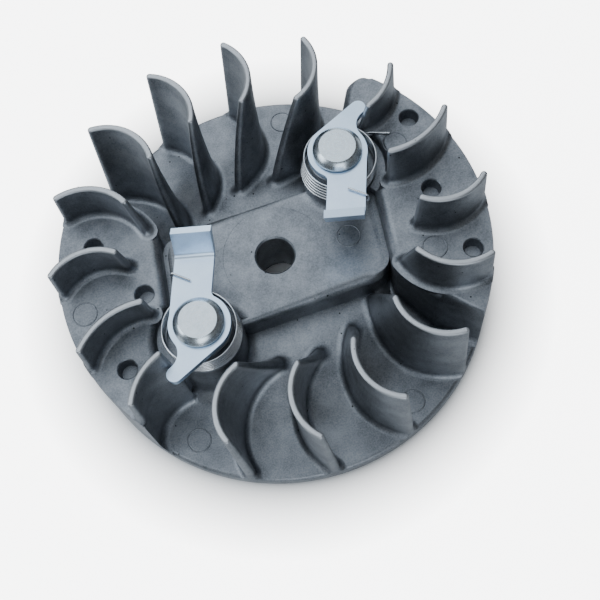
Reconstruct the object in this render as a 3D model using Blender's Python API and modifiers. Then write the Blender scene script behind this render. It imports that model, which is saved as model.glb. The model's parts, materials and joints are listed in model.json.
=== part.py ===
"""Fan flywheel of a small engine, with two spring-loaded starter pawls.

Metres, +Z up along the crankshaft. The origin is on the shaft axis, at the underside of the rim.
"""
import math
from collections import namedtuple

import bmesh
import bpy
from mathutils import Matrix, Vector

MM = 0.001

# Heights of the casting above the underside
FLOOR_TOP = 4.2 * MM
HUB_TOP = 18.7 * MM
PAD_TOP = 24.0 * MM
BLADE_TOP = 36.0 * MM

# Floor disc, which rises towards the hub, and the shallow ring sunk in its underside
RIM_RADIUS = 51.6 * MM
FLOOR_RISE = 6.8 * MM
FLOOR_RISE_INNER = 22.0 * MM
FLOOR_RISE_OUTER = 40.0 * MM
RECESS_INNER = 18.0 * MM
RECESS_OUTER = 45.0 * MM
RECESS_DEPTH = 2.0 * MM
RIM_SEGMENTS = 96

# Crank bore: narrow end under the nut, with a keyway in the lower part
BORE_TOP_DIAMETER = 9.2 * MM
BORE_BOTTOM_DIAMETER = 11.6 * MM
KEYWAY_WIDTH = 2.6 * MM
KEYWAY_DEPTH = 1.3 * MM
KEYWAY_HEIGHT = 12.0 * MM

# Hub bar that carries both pawls, given by its upper edge, which the lower edge repeats half a turn round
BAR_EDGE_LEFT = Vector((-17.0 * MM, 12.2 * MM))
BAR_EDGE_RIGHT = Vector((10.0 * MM, 16.0 * MM))
BAR_END = 27.0 * MM
BAR_CORNER_RADIUS = 7.0 * MM

# Pads: raised thirds of the rim, each with a straight inner wall and a round bay for the pawl spring
PAD_SETBACK = 0.1 * MM
PAD_INNER = 26.6 * MM
PAD_FOOT_ANGLE = -31.0
PAD_FOOT_CORNER = 5.0 * MM
PAD_FOOT_INNER = -11.5 * MM
PAD_FOOT_ELBOW = 11.3 * MM
PAD_HEAD_ANGLE = 58.2
PAD_HEAD_CORNER = 4.0 * MM
PAD_LEDGE = 0.2 * MM
BAY_CLEARANCE = 2.3 * MM
BAY_END_ANGLE = 78.0
BAY_STEPS = 14
PAD_RIM_STEPS = 30

# Blind locating holes in the pads, as distance in from the rim and angle
PAD_HOLE_DIAMETER = 4.5 * MM
PAD_HOLE_WALL = 0.6 * MM
PAD_HOLE_SEGMENTS = 16
PAD_HOLES = (
    (4.6 * MM, 34.7),
    (11.4 * MM, 9.7),
    (4.9 * MM, -12.9),
    (8.6 * MM, 168.0),
    (19.5 * MM, 190.1),
    (7.4 * MM, 211.4),
)

# Inserts cast into the pads: magnet and pole shoes on one side, counterweight on the other
INSERT_BOTTOM = 6.0 * MM
INSERT_TOP = 19.4 * MM
INSERT_INNER = 37.5 * MM
INSERT_ANGLE = 10.9
MAGNET_THICKNESS = 8.0 * MM
MAGNET_HALF_ANGLE = 10.0
POLE_SPAN = 18.0
COUNTERWEIGHT_INNER = 39.0 * MM
COUNTERWEIGHT_HALF_ANGLE = 24.0
FIT_GAP = 0.3 * MM
SECTOR_STEPS = 8

# Fan blades: tip circle, arc and thickness; one half turn is listed and repeated
BLADES_PER_HALF = 8
FIRST_BLADE_ANGLE = 137.05
BLADE_TIP_SETBACK = 1.6 * MM
BLADE_ROOT_SETBACK = 1.3 * MM
BLADE_TOP_THICKNESS = 1.5 * MM
BLADE_DRAFT = 0.035
BLADE_SINK = 0.8 * MM
BLADE_ARC_STEPS = 8

# trim is the tip's shift in degrees; top and root are each the inner end's radius, its turn from the tip
# in degrees counter-clockwise, and the bulge; flare is the turn of the root's outer end
Edge = namedtuple("Edge", "inner turn bulge")
Blade = namedtuple("Blade", "trim top root flare on_pad")
TALL_BLADE = Blade(0.6, Edge(33.6 * MM, -2.0, 3.4 * MM), Edge(22.1 * MM, 14.7, 6.7 * MM), 1.9, False)
END_BLADE = Blade(-2.7, Edge(38.1 * MM, -2.9, 1.3 * MM), Edge(37.7 * MM, 0.2, 2.2 * MM), 0.0, True)
HALF_FAN = (
    TALL_BLADE,
    TALL_BLADE,
    TALL_BLADE,
    TALL_BLADE,
    END_BLADE,
    Blade(0.0, Edge(32.5 * MM, -2.8, 2.2 * MM), Edge(31.5 * MM, -4.9, 3.2 * MM), 0.0, True),
    Blade(0.0, Edge(35.2 * MM, -3.5, 2.8 * MM), Edge(34.0 * MM, -5.3, 3.2 * MM), 0.0, True),
    Blade(0.1, Edge(34.1 * MM, -2.3, 2.8 * MM), Edge(28.3 * MM, 2.1, 4.6 * MM), 0.0, True),
)

# Pawl pivots
PIVOT_RADIUS = 26.4 * MM
PIVOT_ANGLE = 42.9
PIN_HEAD_TOP = 32.8 * MM
PIN_HEAD_HEIGHT = 2.2 * MM
PIN_HEAD_DIAMETER = 11.7 * MM
PIN_HEAD_CHAMFER = 1.3 * MM
PIN_SHOULDER_DIAMETER = 7.0 * MM
PIN_SHANK_DIAMETER = 5.0 * MM
PIN_SHANK_LENGTH = 12.0 * MM
RUNNING_CLEARANCE = 0.1 * MM
PIN_SEGMENTS = 32

# Pawls: round eye, straight arm with an upturned lip, and a tail; angles are those of the photographed rest
PAWL_THICKNESS = 1.8 * MM
EYE_RADIUS = 7.1 * MM
ARM_ANGLE = -103.3
ARM_OUTER_EDGE = 6.95 * MM
ARM_WIDTH = 9.05 * MM
ARM_LENGTH = 15.2 * MM
LIP_LENGTH = 6.6 * MM
LIP_ANGLE = 72.0
LIP_SKEW = 6.0
LIP_OVERLAP = 0.5 * MM
LIP_STEPS = 5
LIP_BEND_RADIUS = 1.6 * MM
TAIL_ANGLE = 56.2
TAIL_REACH = 12.8 * MM
TAIL_TIP_RADIUS = 1.8 * MM
TAIL_NECK_RADIUS = 4.1 * MM

# Torsion springs round the bosses
WIRE_DIAMETER = 0.6 * MM
COIL_RADIUS = 8.6 * MM
COIL_SHIFT = 0.5 * MM
COIL_PITCH = 1.03 * MM
COIL_FULL_TURNS = 4
COIL_POINTS_PER_TURN = 10
FIXED_LEG_ANGLE = 75.6
FIXED_LEG_LENGTH = 11.5 * MM
FIXED_LEG_LEVEL = 4.4 * MM
HOOK_LEG_ANGLE = 236.0
HOOK_REACH = 0.8 * MM
HOOK_TIP_LENGTH = 4.4 * MM
HOOK_STEPS = 6
BOSS_CLEARANCE = 0.7 * MM
SEAT_OVERHANG = 0.1 * MM

PIN_HEAD_UNDERSIDE = PIN_HEAD_TOP - PIN_HEAD_HEIGHT
PAWL_TOP = PIN_HEAD_UNDERSIDE - FIT_GAP
PAWL_BOTTOM = PAWL_TOP - PAWL_THICKNESS
BOSS_TOP = PAWL_BOTTOM - FIT_GAP
BOSS_RADIUS = COIL_RADIUS - WIRE_DIAMETER / 2 - COIL_SHIFT - BOSS_CLEARANCE
COIL_TURNS = COIL_FULL_TURNS + (HOOK_LEG_ANGLE - FIXED_LEG_ANGLE) / 360
COIL_TOP = PAWL_BOTTOM - FIT_GAP - WIRE_DIAMETER / 2
COIL_BOTTOM = COIL_TOP - COIL_PITCH * COIL_TURNS
SEAT_RADIUS = COIL_RADIUS + WIRE_DIAMETER / 2 + SEAT_OVERHANG
SEAT_TOP = COIL_BOTTOM - WIRE_DIAMETER / 2 - FIT_GAP
BAY_RADIUS = SEAT_RADIUS + BAY_CLEARANCE
PAD_RADIUS = RIM_RADIUS - PAD_SETBACK
MAGNET_OUTER = INSERT_INNER + MAGNET_THICKNESS
BLADE_TIP_RADIUS = RIM_RADIUS - BLADE_TIP_SETBACK
BLADE_ROOT_RADIUS = RIM_RADIUS - BLADE_ROOT_SETBACK
HALF_TURN = Matrix.Rotation(math.pi, 2)


def polar(radius, degrees):
    """Point in the plane at a radius and an angle from +X."""
    return Vector((radius * math.cos(math.radians(degrees)), radius * math.sin(math.radians(degrees))))


def arc(center, radius, start, end, steps):
    """Points from one angle to another on a circle, both ends included."""
    return [center + polar(radius, start + (end - start) * i / steps) for i in range(steps + 1)]


def rounded(before, corner, after, radius, steps=6):
    """Arc that rounds the corner between two straight edges."""
    to_before = (before - corner).normalized()
    to_after = (after - corner).normalized()
    half = to_before.angle(to_after) / 2
    center = corner + (to_before + to_after).normalized() * (radius / math.sin(half))
    first = corner + to_before * (radius / math.tan(half)) - center
    last = corner + to_after * (radius / math.tan(half)) - center
    start = math.degrees(math.atan2(first.y, first.x))
    sweep = math.degrees(math.atan2(first.x * last.y - first.y * last.x, first.dot(last)))
    return arc(center, radius, start, start + sweep, steps)


def turned_about(points, half_turns):
    """Outline moved round the shaft by a number of half turns."""
    return [HALF_TURN @ p for p in points] if half_turns % 2 else list(points)


def pivot(half_turns):
    """Plan position of a pawl's pivot."""
    return polar(PIVOT_RADIUS, PIVOT_ANGLE + 180 * half_turns)


def clear_scene():
    """Remove what the file holds, so the model stands alone."""
    for obj in list(bpy.data.objects):
        bpy.data.objects.remove(obj, do_unlink=True)


def new_collection(name):
    """Collection linked to the scene."""
    collection = bpy.data.collections.new(name)
    bpy.context.scene.collection.children.link(collection)
    return collection


def metal(name, color, roughness):
    """Principled metal in one colour."""
    mat = bpy.data.materials.new(name)
    mat.use_nodes = True
    shader = mat.node_tree.nodes["Principled BSDF"]
    shader.inputs["Base Color"].default_value = (*color, 1.0)
    shader.inputs["Metallic"].default_value = 1.0
    shader.inputs["Roughness"].default_value = roughness
    return mat


def add_mesh(name, mesh, collection, mat=None):
    """Object for a mesh, in a collection, with its material."""
    obj = bpy.data.objects.new(name, mesh)
    collection.objects.link(obj)
    if mat:
        mesh.materials.append(mat)
    return obj


def as_tool(obj):
    """Mark an object as a tool that shapes another and isn't a piece itself."""
    obj.hide_render = True
    obj.display_type = "WIRE"
    return obj


def made_mesh(obj, name):
    """Evaluated mesh of an object, welded; the object is removed."""
    bpy.context.view_layer.update()
    graph = bpy.context.evaluated_depsgraph_get()
    mesh = bpy.data.meshes.new_from_object(obj.evaluated_get(graph))
    mesh.name = name
    mesh.transform(obj.matrix_world)
    bpy.data.objects.remove(obj, do_unlink=True)
    bm = bmesh.new()
    bm.from_mesh(mesh)
    bmesh.ops.remove_doubles(bm, verts=bm.verts, dist=0.001 * MM)
    bmesh.ops.recalc_face_normals(bm, faces=bm.faces)
    bm.to_mesh(mesh)
    bm.free()
    return mesh


def plate_mesh(name, outline, bottom, top):
    """Flat outline, extruded between two heights."""
    curve = bpy.data.curves.new(name, "CURVE")
    curve.dimensions = "2D"
    curve.fill_mode = "BOTH"
    curve.extrude = (top - bottom) / 2
    spline = curve.splines.new("POLY")
    spline.points.add(len(outline) - 1)
    for point, place in zip(spline.points, outline):
        point.co = (place.x, place.y, 0.0, 1.0)
    spline.use_cyclic_u = True
    obj = bpy.data.objects.new(name, curve)
    obj.location.z = (top + bottom) / 2
    bpy.context.scene.collection.objects.link(obj)
    return made_mesh(obj, name)


def turned_mesh(name, profile, segments):
    """Profile of (radius, height) points, from top to bottom on its outer side, turned about Z."""
    mesh = bpy.data.meshes.new(name)
    mesh.from_pydata([(r, 0.0, z) for r, z in profile], [(i, i + 1) for i in range(len(profile) - 1)], [])
    obj = bpy.data.objects.new(name, mesh)
    bpy.context.scene.collection.objects.link(obj)
    screw = obj.modifiers.new("turn", "SCREW")
    screw.steps = segments
    screw.render_steps = segments
    screw.use_merge_vertices = True
    screw.merge_threshold = 0.005 * MM
    return made_mesh(obj, name)


def strip_loft(name, root, top):
    """Closed loft between two sections, each a pair of matching rows of points."""
    bm = bmesh.new()
    rings = [[[bm.verts.new(p) for p in row] for row in section] for section in (root, top)]
    count = len(root[0])
    for i in range(count - 1):
        for section in rings:
            bm.faces.new((section[0][i], section[0][i + 1], section[1][i + 1], section[1][i]))
        for side in range(2):
            low, high = rings[0][side], rings[1][side]
            bm.faces.new((low[i], low[i + 1], high[i + 1], high[i]))
    for i in (0, count - 1):
        bm.faces.new((rings[0][0][i], rings[0][1][i], rings[1][1][i], rings[1][0][i]))
    bmesh.ops.recalc_face_normals(bm, faces=bm.faces)
    mesh = bpy.data.meshes.new(name)
    bm.to_mesh(mesh)
    bm.free()
    return mesh


def blade_section(inner, outer, bulge, thickness, height):
    """Two rows of points, one for each face of a blade that bulges clockwise."""
    chord = outer - inner
    along = chord.normalized()
    outward = Vector((along.y, -along.x))
    radius = (chord.length_squared / 4 + bulge * bulge) / (2 * bulge)
    center = (inner + outer) / 2 + outward * (bulge - radius)
    half = math.asin(chord.length / 2 / radius)
    rows = []
    for side in (thickness / 2, -thickness / 2):
        row = []
        for i in range(BLADE_ARC_STEPS + 1):
            swing = half * (2 * i / BLADE_ARC_STEPS - 1)
            place = center + (radius + side) * (outward * math.cos(swing) + along * math.sin(swing))
            row.append((place.x, place.y, height))
        rows.append(row)
    return rows


def blade_thickness(height):
    """Thickness of a blade, which grows downwards by its draft."""
    return BLADE_TOP_THICKNESS + BLADE_DRAFT * (BLADE_TOP - height)


def blade_ends(blade, tip_angle):
    """Inner and outer end of a blade's root, in plan."""
    inner = polar(blade.root.inner, tip_angle + blade.root.turn)
    return inner, polar(BLADE_ROOT_RADIUS, tip_angle + blade.flare)


def blade_angle(blade, index, half_turns):
    """Angle of a blade's tip."""
    return FIRST_BLADE_ANGLE - index * 180 / BLADES_PER_HALF + blade.trim + 180 * half_turns


def blade_mesh(blade, index, half_turns):
    """Curved fan blade, thin at the top and longer and thicker at the root."""
    angle = blade_angle(blade, index, half_turns)
    base = (PAD_TOP if blade.on_pad else FLOOR_TOP) - BLADE_SINK
    inner, outer = blade_ends(blade, angle)
    root = blade_section(inner, outer, blade.root.bulge, blade_thickness(base), base)
    top_inner = polar(blade.top.inner, angle + blade.top.turn)
    top_outer = polar(BLADE_TIP_RADIUS, angle)
    top = blade_section(top_inner, top_outer, blade.top.bulge, BLADE_TOP_THICKNESS, BLADE_TOP)
    return strip_loft(f"blade_{half_turns}{index}", root, top)


def floor_mesh():
    """Floor disc of the wheel with its rise to the hub and the ring sunk in its underside."""
    profile = [
        (0.0, FLOOR_TOP + FLOOR_RISE),
        (FLOOR_RISE_INNER, FLOOR_TOP + FLOOR_RISE),
        (FLOOR_RISE_OUTER, FLOOR_TOP),
        (RIM_RADIUS, FLOOR_TOP),
        (RIM_RADIUS, 0.0),
        (RECESS_OUTER, 0.0),
        (RECESS_OUTER, RECESS_DEPTH),
        (RECESS_INNER, RECESS_DEPTH),
        (RECESS_INNER, 0.0),
        (0.0, 0.0),
    ]
    return turned_mesh("flywheel_casting", profile, RIM_SEGMENTS)


def bar_mesh():
    """Hub bar between the pads, from the floor to the nut face."""
    edge = (BAR_EDGE_RIGHT - BAR_EDGE_LEFT).normalized()
    slope = edge.y / edge.x
    end_left = Vector((-BAR_END, BAR_EDGE_LEFT.y - slope * (BAR_EDGE_LEFT.x + BAR_END)))
    end_right = Vector((BAR_END, BAR_EDGE_RIGHT.y + slope * (BAR_END - BAR_EDGE_RIGHT.x)))
    below_left = Vector((-BAR_END, 0.0))
    half = [end_right] + rounded(end_right, end_left, below_left, BAR_CORNER_RADIUS)
    return plate_mesh("hub_bar", half + turned_about(half, 1), FLOOR_TOP - BLADE_SINK, HUB_TOP)


def pad_foot():
    """End of a pad below its last blade: rounded from the rim to the straight inner wall."""
    rim = polar(PAD_RADIUS, PAD_FOOT_ANGLE)
    inner = Vector((PAD_INNER, PAD_FOOT_INNER))
    corner = polar(PAD_RADIUS - PAD_FOOT_ELBOW, PAD_FOOT_ANGLE)
    above = Vector((PAD_INNER, 0.0))
    foot = [rim] + rounded(rim, corner, inner, PAD_FOOT_CORNER)
    return foot + rounded(corner, inner, above, PAD_FOOT_CORNER)


def pad_bay(last_angle):
    """Inner wall of a pad, round the bay of the pawl spring."""
    center = pivot(0)
    first_angle = -math.degrees(math.acos((PAD_INNER - center.x) / BAY_RADIUS))
    return arc(center, BAY_RADIUS, first_angle, last_angle, BAY_STEPS)


def pad_outline(half_turns):
    """Plan of a pad; the first runs past its end blade, the second stops under it."""
    if half_turns:
        angle = blade_angle(END_BLADE, HALF_FAN.index(END_BLADE), 0)
        inner, outer = blade_ends(END_BLADE, angle)
        wall = blade_thickness(PAD_TOP) + 2 * PAD_LEDGE
        concave = blade_section(inner, outer, END_BLADE.root.bulge, wall, PAD_TOP)[1]
        head = [Vector(p[:2]) for p in concave]
        from_pivot = head[0] - pivot(0)
        bay_end = math.degrees(math.atan2(from_pivot.y, from_pivot.x)) - 2
        last = angle
    else:
        rim = polar(PAD_RADIUS, PAD_HEAD_ANGLE)
        bay_end = BAY_END_ANGLE
        wall = pivot(0) + polar(BAY_RADIUS, bay_end)
        head = rounded(wall, rim, polar(PAD_RADIUS, PAD_HEAD_ANGLE - 15), PAD_HEAD_CORNER)
        last = math.degrees(math.atan2(head[-1].y, head[-1].x))
    rim_arc = arc(Vector((0.0, 0.0)), PAD_RADIUS, last - 1, PAD_FOOT_ANGLE + 1, PAD_RIM_STEPS)
    return turned_about(pad_foot() + pad_bay(bay_end) + head + rim_arc, half_turns)


def sector(inner, outer, start, end, grow):
    """Ring sector in plan, grown on its inner side and its ends; a grown one reaches past the rim."""
    slack = math.degrees(grow / inner)
    reach = outer + grow
    origin = Vector((0.0, 0.0))
    points = arc(origin, reach, start - slack, end + slack, SECTOR_STEPS)
    return points + arc(origin, inner - grow, end + slack, start - slack, SECTOR_STEPS)


def insert_shapes():
    """Name and plan of each insert: inner and outer radius, first and last angle."""
    pole_start = MAGNET_HALF_ANGLE + math.degrees(FIT_GAP / INSERT_INNER)
    pole_end = pole_start + POLE_SPAN
    back = INSERT_ANGLE + 180
    return {
        "magnet": (
            INSERT_INNER,
            MAGNET_OUTER,
            INSERT_ANGLE - MAGNET_HALF_ANGLE,
            INSERT_ANGLE + MAGNET_HALF_ANGLE,
        ),
        "pole_shoe_leading": (INSERT_INNER, PAD_RADIUS, INSERT_ANGLE + pole_start, INSERT_ANGLE + pole_end),
        "pole_shoe_trailing": (INSERT_INNER, PAD_RADIUS, INSERT_ANGLE - pole_end, INSERT_ANGLE - pole_start),
        "counterweight": (
            COUNTERWEIGHT_INNER,
            PAD_RADIUS,
            back - COUNTERWEIGHT_HALF_ANGLE,
            back + COUNTERWEIGHT_HALF_ANGLE,
        ),
    }


def cylinder_profile(radius, bottom, top):
    """Profile of a plain cylinder."""
    return [(0.0, top), (radius, top), (radius, bottom), (0.0, bottom)]


def moved(mesh, place):
    """Mesh shifted in plan."""
    mesh.transform(Matrix.Translation((place.x, place.y, 0.0)))
    return mesh


def casting_additions():
    """Everything that stands on the floor disc."""
    yield bar_mesh()
    base = FLOOR_TOP - BLADE_SINK
    for half_turns in range(2):
        yield plate_mesh(f"pad_{half_turns}", pad_outline(half_turns), base, PAD_TOP)
        seat = cylinder_profile(SEAT_RADIUS, base, SEAT_TOP)
        yield moved(turned_mesh(f"spring_seat_{half_turns}", seat, PIN_SEGMENTS), pivot(half_turns))
        boss = cylinder_profile(BOSS_RADIUS, base, BOSS_TOP)
        yield moved(turned_mesh(f"boss_{half_turns}", boss, PIN_SEGMENTS), pivot(half_turns))
        for index, blade in enumerate(HALF_FAN):
            yield blade_mesh(blade, index, half_turns)


def casting_cutters():
    """Bore, keyway, pin holes, pad holes and the beds of the inserts."""
    past = 1.0 * MM
    slope = (BORE_BOTTOM_DIAMETER - BORE_TOP_DIAMETER) / 2 / HUB_TOP
    bore = [
        (0.0, HUB_TOP + past),
        (BORE_TOP_DIAMETER / 2 - slope * past, HUB_TOP + past),
        (BORE_BOTTOM_DIAMETER / 2 + slope * past, -past),
        (0.0, -past),
    ]
    yield turned_mesh("bore", bore, PIN_SEGMENTS)
    key_reach = BORE_BOTTOM_DIAMETER / 2 + KEYWAY_DEPTH
    half = KEYWAY_WIDTH / 2
    key = [Vector((0.0, -half)), Vector((key_reach, -half)), Vector((key_reach, half)), Vector((0.0, half))]
    yield plate_mesh("keyway", key, -past, KEYWAY_HEIGHT)
    hole_bottom = BOSS_TOP - PIN_SHANK_LENGTH - FIT_GAP
    for half_turns in range(2):
        hole = cylinder_profile(PIN_SHANK_DIAMETER / 2 + FIT_GAP, hole_bottom, BOSS_TOP + past)
        yield moved(turned_mesh(f"pin_hole_{half_turns}", hole, PIN_SEGMENTS), pivot(half_turns))
    for index, (depth, angle) in enumerate(PAD_HOLES):
        hole = cylinder_profile(PAD_HOLE_DIAMETER / 2, INSERT_TOP + FIT_GAP + PAD_HOLE_WALL, PAD_TOP + past)
        mesh = turned_mesh(f"pad_hole_{index}", hole, PAD_HOLE_SEGMENTS)
        yield moved(mesh, polar(RIM_RADIUS - depth, angle))
    for name, shape in insert_shapes().items():
        bed = sector(*shape, FIT_GAP)
        yield plate_mesh(f"bed_{name}", bed, INSERT_BOTTOM - FIT_GAP, INSERT_TOP + FIT_GAP)


def add_casting(parts, mat):
    """One casting: floor, pads, bar, bosses and blades joined, then bored."""
    casting = add_mesh("flywheel_casting", floor_mesh(), parts, mat)
    tools = new_collection("casting_tools")
    for operation, meshes in (("UNION", casting_additions), ("DIFFERENCE", casting_cutters)):
        for mesh in meshes():
            boolean = casting.modifiers.new(mesh.name, "BOOLEAN")
            boolean.operation = operation
            boolean.object = as_tool(add_mesh(mesh.name, mesh, tools))
            boolean.solver = "MANIFOLD"


def add_inserts(parts, steel, magnet):
    """Magnet, pole shoes and counterweight in their beds."""
    for name, shape in insert_shapes().items():
        mesh = plate_mesh(name, sector(*shape, 0.0), INSERT_BOTTOM, INSERT_TOP)
        add_mesh(name, mesh, parts, magnet if name == "magnet" else steel)


def pin_mesh(name):
    """Headed shoulder pin about its own axis."""
    head = PIN_HEAD_DIAMETER / 2
    shoulder_end = BOSS_TOP + FIT_GAP
    profile = [
        (0.0, PIN_HEAD_TOP),
        (head - PIN_HEAD_CHAMFER, PIN_HEAD_TOP),
        (head, PIN_HEAD_TOP - PIN_HEAD_CHAMFER),
        (head, PIN_HEAD_UNDERSIDE),
        (PIN_SHOULDER_DIAMETER / 2, PIN_HEAD_UNDERSIDE),
        (PIN_SHOULDER_DIAMETER / 2, shoulder_end),
        (PIN_SHANK_DIAMETER / 2, shoulder_end),
        (PIN_SHANK_DIAMETER / 2, BOSS_TOP - PIN_SHANK_LENGTH),
        (0.0, BOSS_TOP - PIN_SHANK_LENGTH),
    ]
    return turned_mesh(name, profile, PIN_SEGMENTS)


def arm_point(along, across):
    """Plan point by distance along the arm and out towards its outer edge."""
    direction = polar(1.0, ARM_ANGLE)
    outward = polar(1.0, ARM_ANGLE + 90)
    return direction * along + outward * across


def lip_point(along, across):
    """Point on the arm or the lip, whose bend runs askew across the arm."""
    middle = ARM_OUTER_EDGE - ARM_WIDTH / 2
    return arm_point(along + (middle - across) * math.tan(math.radians(LIP_SKEW)), across)


def pawl_outline():
    """Eye, arm and tail in plan, about the pivot; a hollow neck runs from the eye to the tail's tip."""
    arm_inner = ARM_OUTER_EDGE - ARM_WIDTH
    outer_meet = math.degrees(math.acos(ARM_OUTER_EDGE / EYE_RADIUS))
    inner_meet = math.degrees(math.asin(arm_inner / EYE_RADIUS))
    origin = Vector((0.0, 0.0))
    tip = polar(TAIL_REACH, TAIL_ANGLE)
    tangent = math.degrees(math.acos((EYE_RADIUS - TAIL_TIP_RADIUS) / TAIL_REACH))
    to_eye = EYE_RADIUS + TAIL_NECK_RADIUS
    to_tip = TAIL_TIP_RADIUS + TAIL_NECK_RADIUS
    spread = math.acos((to_eye ** 2 + TAIL_REACH ** 2 - to_tip ** 2) / (2 * TAIL_REACH * to_eye))
    neck_angle = TAIL_ANGLE - math.degrees(spread)
    neck = polar(to_eye, neck_angle)
    neck_end = math.degrees(math.atan2(tip.y - neck.y, tip.x - neck.x))
    back = arc(origin, EYE_RADIUS, TAIL_ANGLE + tangent, 360 + ARM_ANGLE + inner_meet, 16)
    arm = [lip_point(ARM_LENGTH, arm_inner), lip_point(ARM_LENGTH, ARM_OUTER_EDGE)]
    front = arc(origin, EYE_RADIUS, ARM_ANGLE + 90 - outer_meet, neck_angle, 8)
    hollow = arc(neck, TAIL_NECK_RADIUS, neck_angle + 180, neck_end, 6)[1:]
    nose = arc(tip, TAIL_TIP_RADIUS, neck_end - 180, TAIL_ANGLE + tangent, 8)[1:-1]
    return back + arm + front + hollow + nose + [tip + polar(TAIL_TIP_RADIUS, TAIL_ANGLE + tangent)]


def lip_rows():
    """Side view of the upturned lip: matching rows on its upper and lower face, as (along, height)."""
    upper = []
    lower = []
    bend = math.radians(LIP_ANGLE)
    middle = PAWL_TOP + LIP_BEND_RADIUS
    for i in range(LIP_STEPS + 1):
        swing = bend * i / LIP_STEPS
        for row, radius in ((upper, LIP_BEND_RADIUS), (lower, LIP_BEND_RADIUS + PAWL_THICKNESS)):
            row.append((ARM_LENGTH + radius * math.sin(swing), middle - radius * math.cos(swing)))
    for row in (upper, lower):
        along, height = row[-1]
        row.append((along + LIP_LENGTH * math.cos(bend), height + LIP_LENGTH * math.sin(bend)))
    return upper, lower


def lip_mesh():
    """Upturned lip at the end of the arm, started a little inside it."""
    upper, lower = lip_rows()
    for row in (upper, lower):
        row.insert(0, (row[0][0] - LIP_OVERLAP, row[0][1]))
    sections = []
    for across in (ARM_OUTER_EDGE - ARM_WIDTH, ARM_OUTER_EDGE):
        rows = []
        for row in (upper, lower):
            rows.append([(*lip_point(along, across), height) for along, height in row])
        sections.append(rows)
    return strip_loft("lip", *sections)


def add_pawl(name, parts, tools, mat, holder):
    """Stamped pawl: flat plate, drilled eye and upturned lip."""
    pawl = add_mesh(name, plate_mesh(name, pawl_outline(), PAWL_BOTTOM, PAWL_TOP), parts, mat)
    hole_radius = PIN_SHOULDER_DIAMETER / 2 + RUNNING_CLEARANCE
    hole_profile = cylinder_profile(hole_radius, PAWL_BOTTOM - FIT_GAP, PAWL_TOP + FIT_GAP)
    hole = turned_mesh("eye_hole", hole_profile, PIN_SEGMENTS)
    for mesh, operation in ((lip_mesh(), "UNION"), (hole, "DIFFERENCE")):
        tool = as_tool(add_mesh(f"{name}_{mesh.name}", mesh, tools))
        tool.parent = holder
        boolean = pawl.modifiers.new(mesh.name, "BOOLEAN")
        boolean.operation = operation
        boolean.object = tool
        boolean.solver = "EXACT"
    pawl.parent = holder


def spring_path():
    """Centre line of a torsion spring: fixed leg, coil, leg under the arm and hook over its edge."""
    pad_rise = PAD_TOP + FIT_GAP + WIRE_DIAMETER / 2 - COIL_BOTTOM
    outward = polar(1.0, FIXED_LEG_ANGLE - 90)
    center = outward * COIL_SHIFT
    start = center + polar(COIL_RADIUS, FIXED_LEG_ANGLE)
    bay_reach = math.sqrt(BAY_RADIUS ** 2 - COIL_RADIUS ** 2) - COIL_SHIFT
    path = []
    for along, rise in ((FIXED_LEG_LENGTH, pad_rise), (bay_reach, pad_rise), (FIXED_LEG_LEVEL, 0.0)):
        path.append(Vector((*(start + outward * along), COIL_BOTTOM + rise)))
    steps = math.ceil(COIL_TURNS * COIL_POINTS_PER_TURN)
    for i in range(steps + 1):
        place = center + polar(COIL_RADIUS, FIXED_LEG_ANGLE + 360 * COIL_TURNS * i / steps)
        path.append(Vector((*place, COIL_BOTTOM + (COIL_TOP - COIL_BOTTOM) * i / steps)))
    along_leg = polar(1.0, HOOK_LEG_ANGLE + 90)
    arm_normal = polar(1.0, ARM_ANGLE + 90)
    leave = center + polar(COIL_RADIUS, HOOK_LEG_ANGLE)
    edge = leave + along_leg * ((ARM_OUTER_EDGE - leave.dot(arm_normal)) / along_leg.dot(arm_normal))
    half_rise = (PAWL_TOP + FIT_GAP + WIRE_DIAMETER / 2 - COIL_TOP) / 2
    for i in range(HOOK_STEPS + 1):
        swing = math.pi * i / HOOK_STEPS
        place = edge + along_leg * (HOOK_REACH * math.sin(swing))
        path.append(Vector((*place, COIL_TOP + half_rise * (1 - math.cos(swing)))))
    for along in (HOOK_TIP_LENGTH - WIRE_DIAMETER, HOOK_TIP_LENGTH):
        path.append(Vector((*(edge - along_leg * along), COIL_TOP + 2 * half_rise)))
    return path


def least_self_gap(path, wire):
    """Least clear distance between stretches of a wire that aren't neighbours on it."""
    fine = []
    for first, second in zip(path, path[1:]):
        fine.extend(first.lerp(second, i / 4) for i in range(4))
    run = [0.0]
    for first, second in zip(fine, fine[1:]):
        run.append(run[-1] + (second - first).length)
    least = math.inf
    for i, point in enumerate(fine):
        for j in range(i):
            if run[i] - run[j] > 5 * wire:
                least = min(least, (point - fine[j]).length)
    return least - wire


def add_spring(name, parts, mat, holder):
    """Torsion spring as one unbroken wire."""
    path = spring_path()
    print(f"{name}: least gap to itself {least_self_gap(path, WIRE_DIAMETER) / MM:.2f} mm")
    curve = bpy.data.curves.new(name, "CURVE")
    curve.dimensions = "3D"
    curve.bevel_depth = WIRE_DIAMETER / 2
    curve.bevel_resolution = 1
    curve.use_fill_caps = True
    spline = curve.splines.new("POLY")
    spline.points.add(len(path) - 1)
    for point, place in zip(spline.points, path):
        point.co = (*place, 1.0)
    obj = bpy.data.objects.new(name, curve)
    bpy.context.scene.collection.objects.link(obj)
    spring = add_mesh(name, made_mesh(obj, name), parts, mat)
    spring.parent = holder


def shade(parts):
    """Smooth shading with sharp edges kept."""
    for obj in parts.objects:
        if obj.type == "MESH":
            obj.data.shade_smooth()
            obj.data.set_sharp_from_angle(angle=math.radians(35))


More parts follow.
